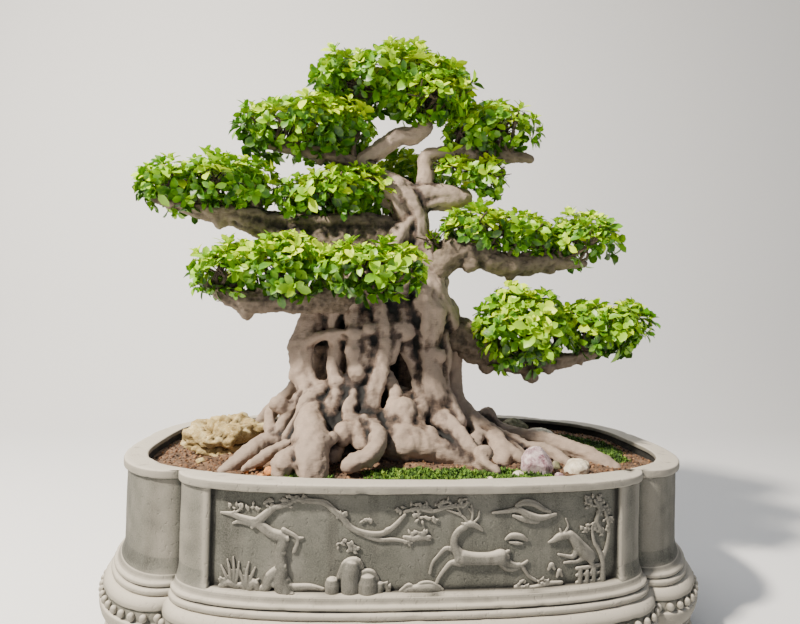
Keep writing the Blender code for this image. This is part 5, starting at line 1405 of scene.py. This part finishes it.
def makeCrumbs(dice):
    crumbs = unitBox("crumbs", [crumbUnit(f"crumb{k}", dice) for k in range(4)])
    _, rings = soilRings(wider=-0.004, count=60, columns=160)
    surface = newObject("crumbGround", skin("crumbGround", rings, capBottom=False))
    surface.data.vertices[-1].co.z = soilAt(0, 0)
    scattered(surface, scatterTree("crumbScatter", crumbs), "clayCrumbs", soilCrumbs, 5,
              ground["crumbScatter"])
    print("crumb triangles", len(surface.data.polygons))
    finished(surface, soilCrumbs, "soil", smooth=False)
    removeUnits(crumbs.objects)


def makeMoss(dice):
    blades = unitBox("mossUnits", [mossUnit(f"mossUnit{k}", dice) for k in range(4)])
    grow = scatterTree("mossScatter", blades)
    count = 0
    for number, (name, x, y, halfX, halfY, height, spacing, tint, *nodes) in enumerate(mossBeds):
        pad = mossPad(name, x, y, halfX, halfY, height)
        blade = newObject(name + "Blades", pad.data.copy())
        markProud(pad.data, rounds=3, reach=0.002)
        finished(pad, mossBed, "moss", nodes)
        scattered(blade, grow, name + "Blades", mossBlade, 40 + number,
                  {**ground["mossScatter"], "Spacing": spacing, "Tint low": tint})
        count += len(blade.data.polygons)
        finished(blade, mossBlade, "moss", smooth=False)
    print("moss faces", count)
    removeUnits(blades.objects)


def makeStones(dice):
    finishes = {"tufa": (tufaStone, "porous_rock"), "grey": (greyStone, "stone"), "pale": (creamStone, "stone"),
                "quartz": (quartzStone, "quartz"), "cream": (creamStone, "stone"), "orange": (ochreStone, "gravel")}
    for node, (name, kind, *shape) in stones.items():
        stone = stoneShape(name, *shape)
        markProud(stone.data, rounds=10, reach=0.004)
        finished(stone, *finishes[kind], [node])
    for kind, rows in looseStones.items():
        parts = []
        for x, y, half in rows:
            halves = (half, half * dice.uniform(0.7, 0.95), half * dice.uniform(0.5, 0.8))
            one = stoneShape("one", x, y, half * 0.30, halves, dice.uniform(0, 3),
                             rough=0.22, facets=0.2, pits=0.0, fine=3)
            parts.append(([tuple(v.co) for v in one.data.vertices], [tuple(p.vertices) for p in one.data.polygons]))
            removeUnits([one])
        some = newObject("loose" + kind.capitalize() + "Stones", joined("stones", parts))
        markProud(some.data, rounds=5, reach=0.003)
        finished(some, *finishes[kind])


def makeGround():
    dice = random.Random(ground["seed"])
    makeSoil()
    makeCrumbs(dice)
    makeMoss(dice)
    makeStones(dice)
    pottedLayers()


makeGround()
print("ground done")


# reliefs, in millimetres: strokes as (along the panel, height above its foot, half width), then leaf sprays as
# (along, height, spread, count)
relief = {"voxel": 0.0014, "flatten": 0.85, "stand": 0.0024, "clear": 0.0008, "thin": 0.0019, "thick": 0.008,
          "knobsFrom": 0.0078, "leafLength": 0.0085, "leafWidth": 0.0027, "seed": 51}
panelScenes = {
    "relief_front_pine": ("front", [
        [(-250.6, -2, 17), (-259.1, 21, 14), (-257, 41, 11.5), (-260.3, 70, 10.5), (-255.7, 96, 10.5),
        (-279.7, 106, 9.5), (-304, 123, 8.5)], [(-304, 123, 8.5), (-333.7, 130, 6.2), (-352.8, 135.5, 4.8),
        (-373.5, 137, 2.2)], [(-307, 121, 8), (-336, 123, 4.2), (-350, 119, 2.2)], [(-305, 124, 8.5),
        (-288.5, 139, 7.5), (-274.3, 151.5, 5.8)], [(-274.3, 151.5, 5.2), (-246.9, 160, 4.4), (-236.6, 169, 3.4)],
        [(-240, 169, 4), (-205.1, 166, 5), (-181.5, 163, 5.5), (-162.8, 147.5, 5.8), (-149.5, 137.2, 6),
        (-133.4, 119, 5.6), (-114.9, 110, 5.6), (-91.1, 106, 5.4), (-70.1, 108.4, 5.2), (-51.9, 121.4, 4.6),
        (-33.8, 141, 3.2)], [(-70.1, 108.4, 5), (-64, 113, 6), (-58, 118, 3)], [(-118.8, 109, 4.6), (-83, 96, 4.2),
        (-51.4, 95.5, 3.6), (-19.4, 89.6, 2.4)], [(-255.5, 111.8, 5), (-229.6, 96.9, 3.6), (-234.3, 75.9, 4),
        (-237.5, 71, 2)], [(-229.6, 96.9, 4), (-219, 98.5, 1.8)], [(-259.6, 41.2, 9.5), (-277.6, 24.9, 10.5),
        (-285.1, 6.3, 9), (-305.4, -1.3, 4.5)], [(-251.2, 20.7, 9.5), (-243.1, 8, 8), (-206.6, 9.5, 6.2),
        (-180.4, 5.7, 3.5)], [(-258, 30, 5), (-266.5, 10, 4.5), (-264, 0, 4)], [(-245, 22, 4.5), (-236, 4, 5),
        (-222, 0, 3)]],
        [(-246.9, 164, 18, 14), (-281, 158, 13, 9), (-222, 168, 16, 9), (-152, 143, 11, 10), (-140, 86, 18, 16),
         (-125, 78, 12, 8), (-25, 92, 12, 8), (-345, 147, 16, 9), (-315, 150, 18, 9), (-105, 131, 10, 6),
         (-45, 150, 12, 8)]),
    "relief_front_rocks": ("front", [
        [(-164.5, 0, 13), (-164.5, 15.5, 13.5)], [(-132, 0, 16), (-132, 30, 17), (-130, 46, 16.5)], [(-151, 30, 6),
        (-139, 52, 8.5), (-122, 56.5, 8.5), (-112, 48, 6)], [(-100, 0, 18), (-100, 19, 18.5)], [(-119, 20, 5),
        (-109, 35.5, 6), (-93, 36.5, 6), (-83, 24, 5)], [(-80, 0, 9), (-78, 12, 8.5)], [(-38.7, 1, 3.8),
        (-23.1, 12.5, 4), (-12.3, 4, 3.6), (-3.2, 13.4, 4), (12.8, 15.8, 4.2), (28.9, 10.2, 3.8), (39.8, 1.8, 3.2)],
        [(-30, 2, 6.5), (-20, 4, 7), (2, 6, 9), (18, 6, 9), (32, 2, 5)], [(179, 3, 4), (213, 0, 5), (241.5, 5.5, 5),
        (270.8, 6, 4)]],
        [(-66, 12, 10, 8), (-70, 4, 12, 7), (195, 8, 12, 7), (232, 10, 12, 7)]),
    "relief_front_grass": ("front", [
        [(-350, 6, 4), (-353.5, 32, 3.4), (-358.5, 52, 1.2)], [(-346, 6, 3.6), (-345.5, 34, 3.2), (-347.5, 57, 1.2)],
        [(-343, 6, 3.6), (-338, 30, 3.2), (-336.5, 49, 1.2)], [(-353, 6, 3.6), (-362.5, 26, 3), (-370, 40, 1.2)],
        [(-321, 4, 4.2), (-321.5, 30, 3.6), (-318, 50, 1.2)], [(-323, 4, 4), (-331, 24, 3.4), (-337, 38, 1.2)],
        [(-319, 4, 4), (-312, 26, 3.4), (-306, 41, 1.2)], [(-318, 3, 3.6), (-307, 14, 3), (-298.5, 21, 1.2)],
        [(-370, 1, 6), (-356, 9.5, 7.5), (-342, 4, 6)], [(-342, 1, 5), (-333, 7, 5.5), (-324, 1, 5)], [(-315, 0, 8),
        (-308, 13, 8.5), (-300, 2, 7)]],
        [(-365, 14, 10, 7), (-334, 10, 12, 8)]),
    "relief_front_deer": ("front", [
        [(73.7, 61.9, 13.5), (95.4, 58.8, 12), (128.2, 58, 11.8), (150, 61, 14), (157, 60, 10)], [(72, 64.6, 11),
        (62.5, 78, 8.5), (59.5, 93.9, 7), (67.3, 109.7, 6.2), (80.7, 118.5, 5.8)], [(81.5, 121.2, 5.8),
        (92.5, 122.8, 6.4), (104, 117.2, 4.4), (112.5, 110.8, 2.6)], [(79, 121.5, 3), (73.5, 125, 1.4)],
        [(86, 125.3, 2.6), (72.1, 138.8, 2.4), (44.9, 149.6, 1.4)], [(73.5, 137.8, 2), (65, 154, 1.2)],
        [(92, 126.8, 2.6), (93.7, 143.8, 2.4), (90.7, 158.8, 1.4)], [(93.7, 141.8, 2), (86, 152, 1.2)],
        [(97.5, 126.4, 2.4), (104.9, 135.4, 2), (106.5, 146.4, 1.2)], [(80, 55, 8), (70, 51, 6.5), (55, 51.7, 4.8),
        (41.8, 38.7, 3.6), (31.4, 23.1, 3.4), (28.5, 16, 3.6)], [(65, 74, 6), (55, 76.5, 4.6), (43.7, 78.3, 4),
        (30.5, 65.2, 3.2), (20.1, 52.2, 3), (15.1, 33.9, 3.2)], [(153.1, 56.6, 11), (164, 48, 8), (178, 43, 5.5),
        (189.6, 42.6, 4.4), (204, 23.1, 3.4), (218.5, 13.6, 3.2)], [(150, 52, 9), (160, 40, 6), (176, 37, 4.2),
        (196, 47, 3.2), (201, 51, 2.6)], [(159, 66, 5), (164, 71, 3.6), (166.5, 69, 1.4)]], []),
    "relief_front_clouds": ("front", [
        [(132.1, 143.2, 2.4), (159.7, 145.4, 4), (182, 147.5, 5.5), (204.8, 136, 7.5), (227.8, 131.1, 6),
        (256.7, 136.6, 3.4)], [(178, 156, 4), (195, 161.5, 6.6), (214, 158, 6.2), (230, 148, 5), (245, 142, 3)],
        [(172, 137, 2.8), (190, 130, 5), (208, 125, 4.5), (222, 123, 2.4)], [(158, 93, 2.6), (170, 99, 5.8),
        (187, 97, 6), (200, 90, 3)], [(166, 87, 2), (180, 85, 3.6), (191, 84, 1.6)], [(-34, 147, 3), (-10, 152, 3.6),
        (18.1, 147.2, 3.8), (44.8, 154.9, 3.6), (71.8, 157.4, 3.4), (85.3, 162.9, 2)], [(-34.2, 100.2, 3.4),
        (-18.2, 97.4, 5), (0, 99, 5.2), (14, 95, 2.6)]],
        [(-10, 156, 16, 13), (18, 155, 18, 15), (45, 161, 17, 13), (70, 164, 14, 9), (-20, 102, 15, 12),
         (2, 103, 14, 10), (-5, 134, 15, 9), (22, 135, 12, 7)]),
    "relief_front_second_deer": ("front", [
        [(243.1, 84, 2.2), (253, 87, 4.6), (264, 93, 7.2), (275.2, 94.8, 7.2), (288, 96, 8)], [(288, 96, 8),
        (298, 85, 10.5), (308, 72, 12.5), (320, 60, 13.5), (330.9, 52, 11.5)], [(276, 99, 3), (283, 113, 2.2),
        (278, 127, 1.2)], [(270, 99, 3), (266, 108, 1.2)], [(302, 64, 7), (293.9, 53.5, 4.5), (279, 56, 3.2),
        (264, 60.1, 2.6)], [(314, 50, 6.5), (304, 44, 4), (288, 43.5, 3), (276.1, 43, 2.4)], [(328, 48, 7),
        (337, 33, 4.5), (334, 16, 3.4)], [(244, 33, 3), (250, 42, 4.5), (256, 33, 3)], [(262, 18, 2.8),
        (266, 29, 4.5), (272, 19, 2.8)]], []),
    "relief_front_trees": ("front", [
        [(360, -1, 7), (358.5, 41.3, 5.5), (350, 62, 4.8), (340.4, 76.9, 4), (333.7, 105, 3)], [(358.5, 41.3, 5),
        (370, 72, 4.5), (372, 105, 4), (364, 135, 3.4)], [(355, 100, 4.5), (345, 118, 5), (350, 142, 4.5),
        (340, 158, 3)], [(310, 0, 5), (310, 28, 5)], [(325, 0, 5), (325, 22, 5)], [(303, 30, 3.8), (350, 32, 3.8)],
        [(303, 17, 3.2), (350, 18, 3.2)], [(340, 0, 5), (340, 28, 5)], [(303, 3, 3.4), (356, 3, 3.4)]],
        [(323.7, 108, 16, 12), (342.5, 107, 16, 13), (362.1, 98, 14, 12), (340, 146, 18, 14), (364, 138, 16, 14),
         (370, 118, 12, 9), (330, 160, 14, 9), (358, 162, 14, 9)]),
    "relief_back_pine": ("back", [
        [(-245, 4, 16), (-240, 35, 12), (-235, 62, 11), (-262, 112, 10), (-320, 144, 6), (-352, 150, 2)],
        [(-240, 72, 9), (-190, 132, 7.5), (-110, 148, 6), (-40, 122, 3)], [(-243, 30, 8), (-275, 6, 6), (-300, 2, 3)],
        [(-237, 26, 8), (-205, 6, 6), (-180, 2, 3)]],
        [(-310, 152, 20, 16), (-345, 146, 16, 12), (-262, 126, 16, 12), (-190, 146, 20, 16), (-135, 156, 20, 15),
         (-80, 148, 18, 13), (-40, 128, 15, 11)]),
    "relief_back_rocks": ("back", [
        [(-60, 2, 14), (-60, 16, 14)], [(-30, 2, 16), (-26, 38, 16)], [(4, 2, 15), (4, 20, 15)], [(30, 3, 9),
        (75, 9, 6), (130, 4, 4)]],
        [(55, 14, 14, 10), (95, 12, 14, 9)]),
    "relief_back_bamboo": ("back", [
        [(240, 4, 6.5), (246, 46, 5.5), (250, 86, 5.2), (244, 130, 4.8), (235, 166, 3.6)], [(262, 2, 5.5),
        (272, 50, 4.6), (290, 110, 4.2), (318, 150, 2.8)], [(250, 84, 4), (300, 134, 3.4), (342, 152, 2.2)],
        [(238, 142, 4), (210, 152, 3), (178, 158, 2)]],
        [(180, 158, 18, 12), (212, 160, 16, 10), (300, 142, 20, 14), (340, 152, 18, 12), (292, 112, 18, 10),
         (240, 160, 18, 11), (228, 100, 16, 9)]),
    "relief_left_plum": ("left", [
        [(-60, 6, 10), (-30, 48, 7.8), (-2, 74, 7), (26, 94, 5.8), (64, 120, 3)], [(-24, 56, 6.2), (-46, 80, 5),
        (-64, 104, 2.6)], [(4, 78, 5), (8, 104, 4), (-4, 124, 2.2)]],
        [(-52, 92, 14, 9), (4, 112, 14, 9), (44, 112, 15, 10), (66, 122, 12, 7), (-70, 110, 12, 7)]),
}
panelScenes["relief_right_plum"] = (
    "right", [[(-x, z, r) for x, z, r in stroke] for stroke in panelScenes["relief_left_plum"][1]],
    [(-x, z, spread, count) for x, z, spread, count in panelScenes["relief_left_plum"][2]])


def onPanel(side, along, out, height):
    # lays a drawing made in the x-z plane on a recessed panel's floor
    sign = -1 if side in ("front", "left") else 1
    if side in ("front", "back"):
        reach = min(max(along, -pot["panelHalf"]), pot["panelHalf"])
        return along, panelFloor(reach, sign * 0.4)[1] + sign * out, pot["panelLow"] + height
    reach = min(max(along, -pot["endHalf"]), pot["endHalf"])
    return panelFloor(sign * 0.6, reach)[0] + sign * out, along, pot["endLow"] + height


def leafSpray(x, z, spread, count, dice):
    # small leaves scattered about a point of the panel
    parts = []
    for _ in range(count):
        turn, reach = dice.uniform(0, 2 * math.pi), spread * math.sqrt(dice.random())
        cx, cz = x + reach * math.cos(turn), z + reach * math.sin(turn) * 0.62
        lean, half = dice.uniform(0, math.pi), relief["leafLength"] * dice.uniform(0.40, 0.62)
        dx, dz = math.cos(lean) * half, math.sin(lean) * half
        width = relief["leafWidth"] * dice.uniform(0.8, 1.2)
        parts.append(tubeRings([(cx - dx, 0, cz - dz, width * 0.4), (cx, -0.0012, cz, width),
                                (cx + dx, 0, cz + dz, width * 0.4)], 6))
    return parts


def makeReliefs():
    dice = random.Random(relief["seed"])
    total = 0
    for node, (side, strokes, sprays) in panelScenes.items():
        parts = []
        for stroke in strokes:
            stroke = [(x / 1000, z / 1000, radius / 1000) for x, z, radius in stroke]
            parts.append(tubeRings([(x, 0, z, max(radius, relief["thin"])) for x, z, radius in stroke],
                                   10 if stroke[0][2] < relief["thick"] else 20))
            for x, z, radius in stroke[:-1]:
                if radius > relief["knobsFrom"] and "pine" in node:            # bark knobs on the thick wood
                    for _ in range(3):
                        parts.append(lumpAt(x + dice.uniform(-1, 1) * radius * 0.8, -radius * 0.45,
                                            z + dice.uniform(-1, 1) * radius, radius * dice.uniform(0.3, 0.5), dice))
        for x, z, spread, count in sprays:
            parts += leafSpray(x / 1000, z / 1000, spread / 1000, count, dice)
        piece = newObject(pieceName("relief", node), joined("reliefStrokes", parts))
        fused(piece, relief["voxel"], smooth=1)
        tall = pot["panelHigh"] - pot["panelLow"] if side in ("front", "back") else pot["endHigh"] - pot["endLow"]
        for vert in piece.data.vertices:
            x, y, z = vert.co
            flat = relief["stand"] - y * relief["flatten"]
            vert.co = onPanel(side, x, flat, min(max(z, relief["clear"]), tall - relief["clear"]))
        facedOut(piece)
        markProud(piece.data, rounds=6, reach=0.0018)
        finished(piece, reliefMortar, "mortar", [node])
        total += len(piece.data.polygons) * 2
    print("relief triangles", total)


makeReliefs()
print("reliefs done")
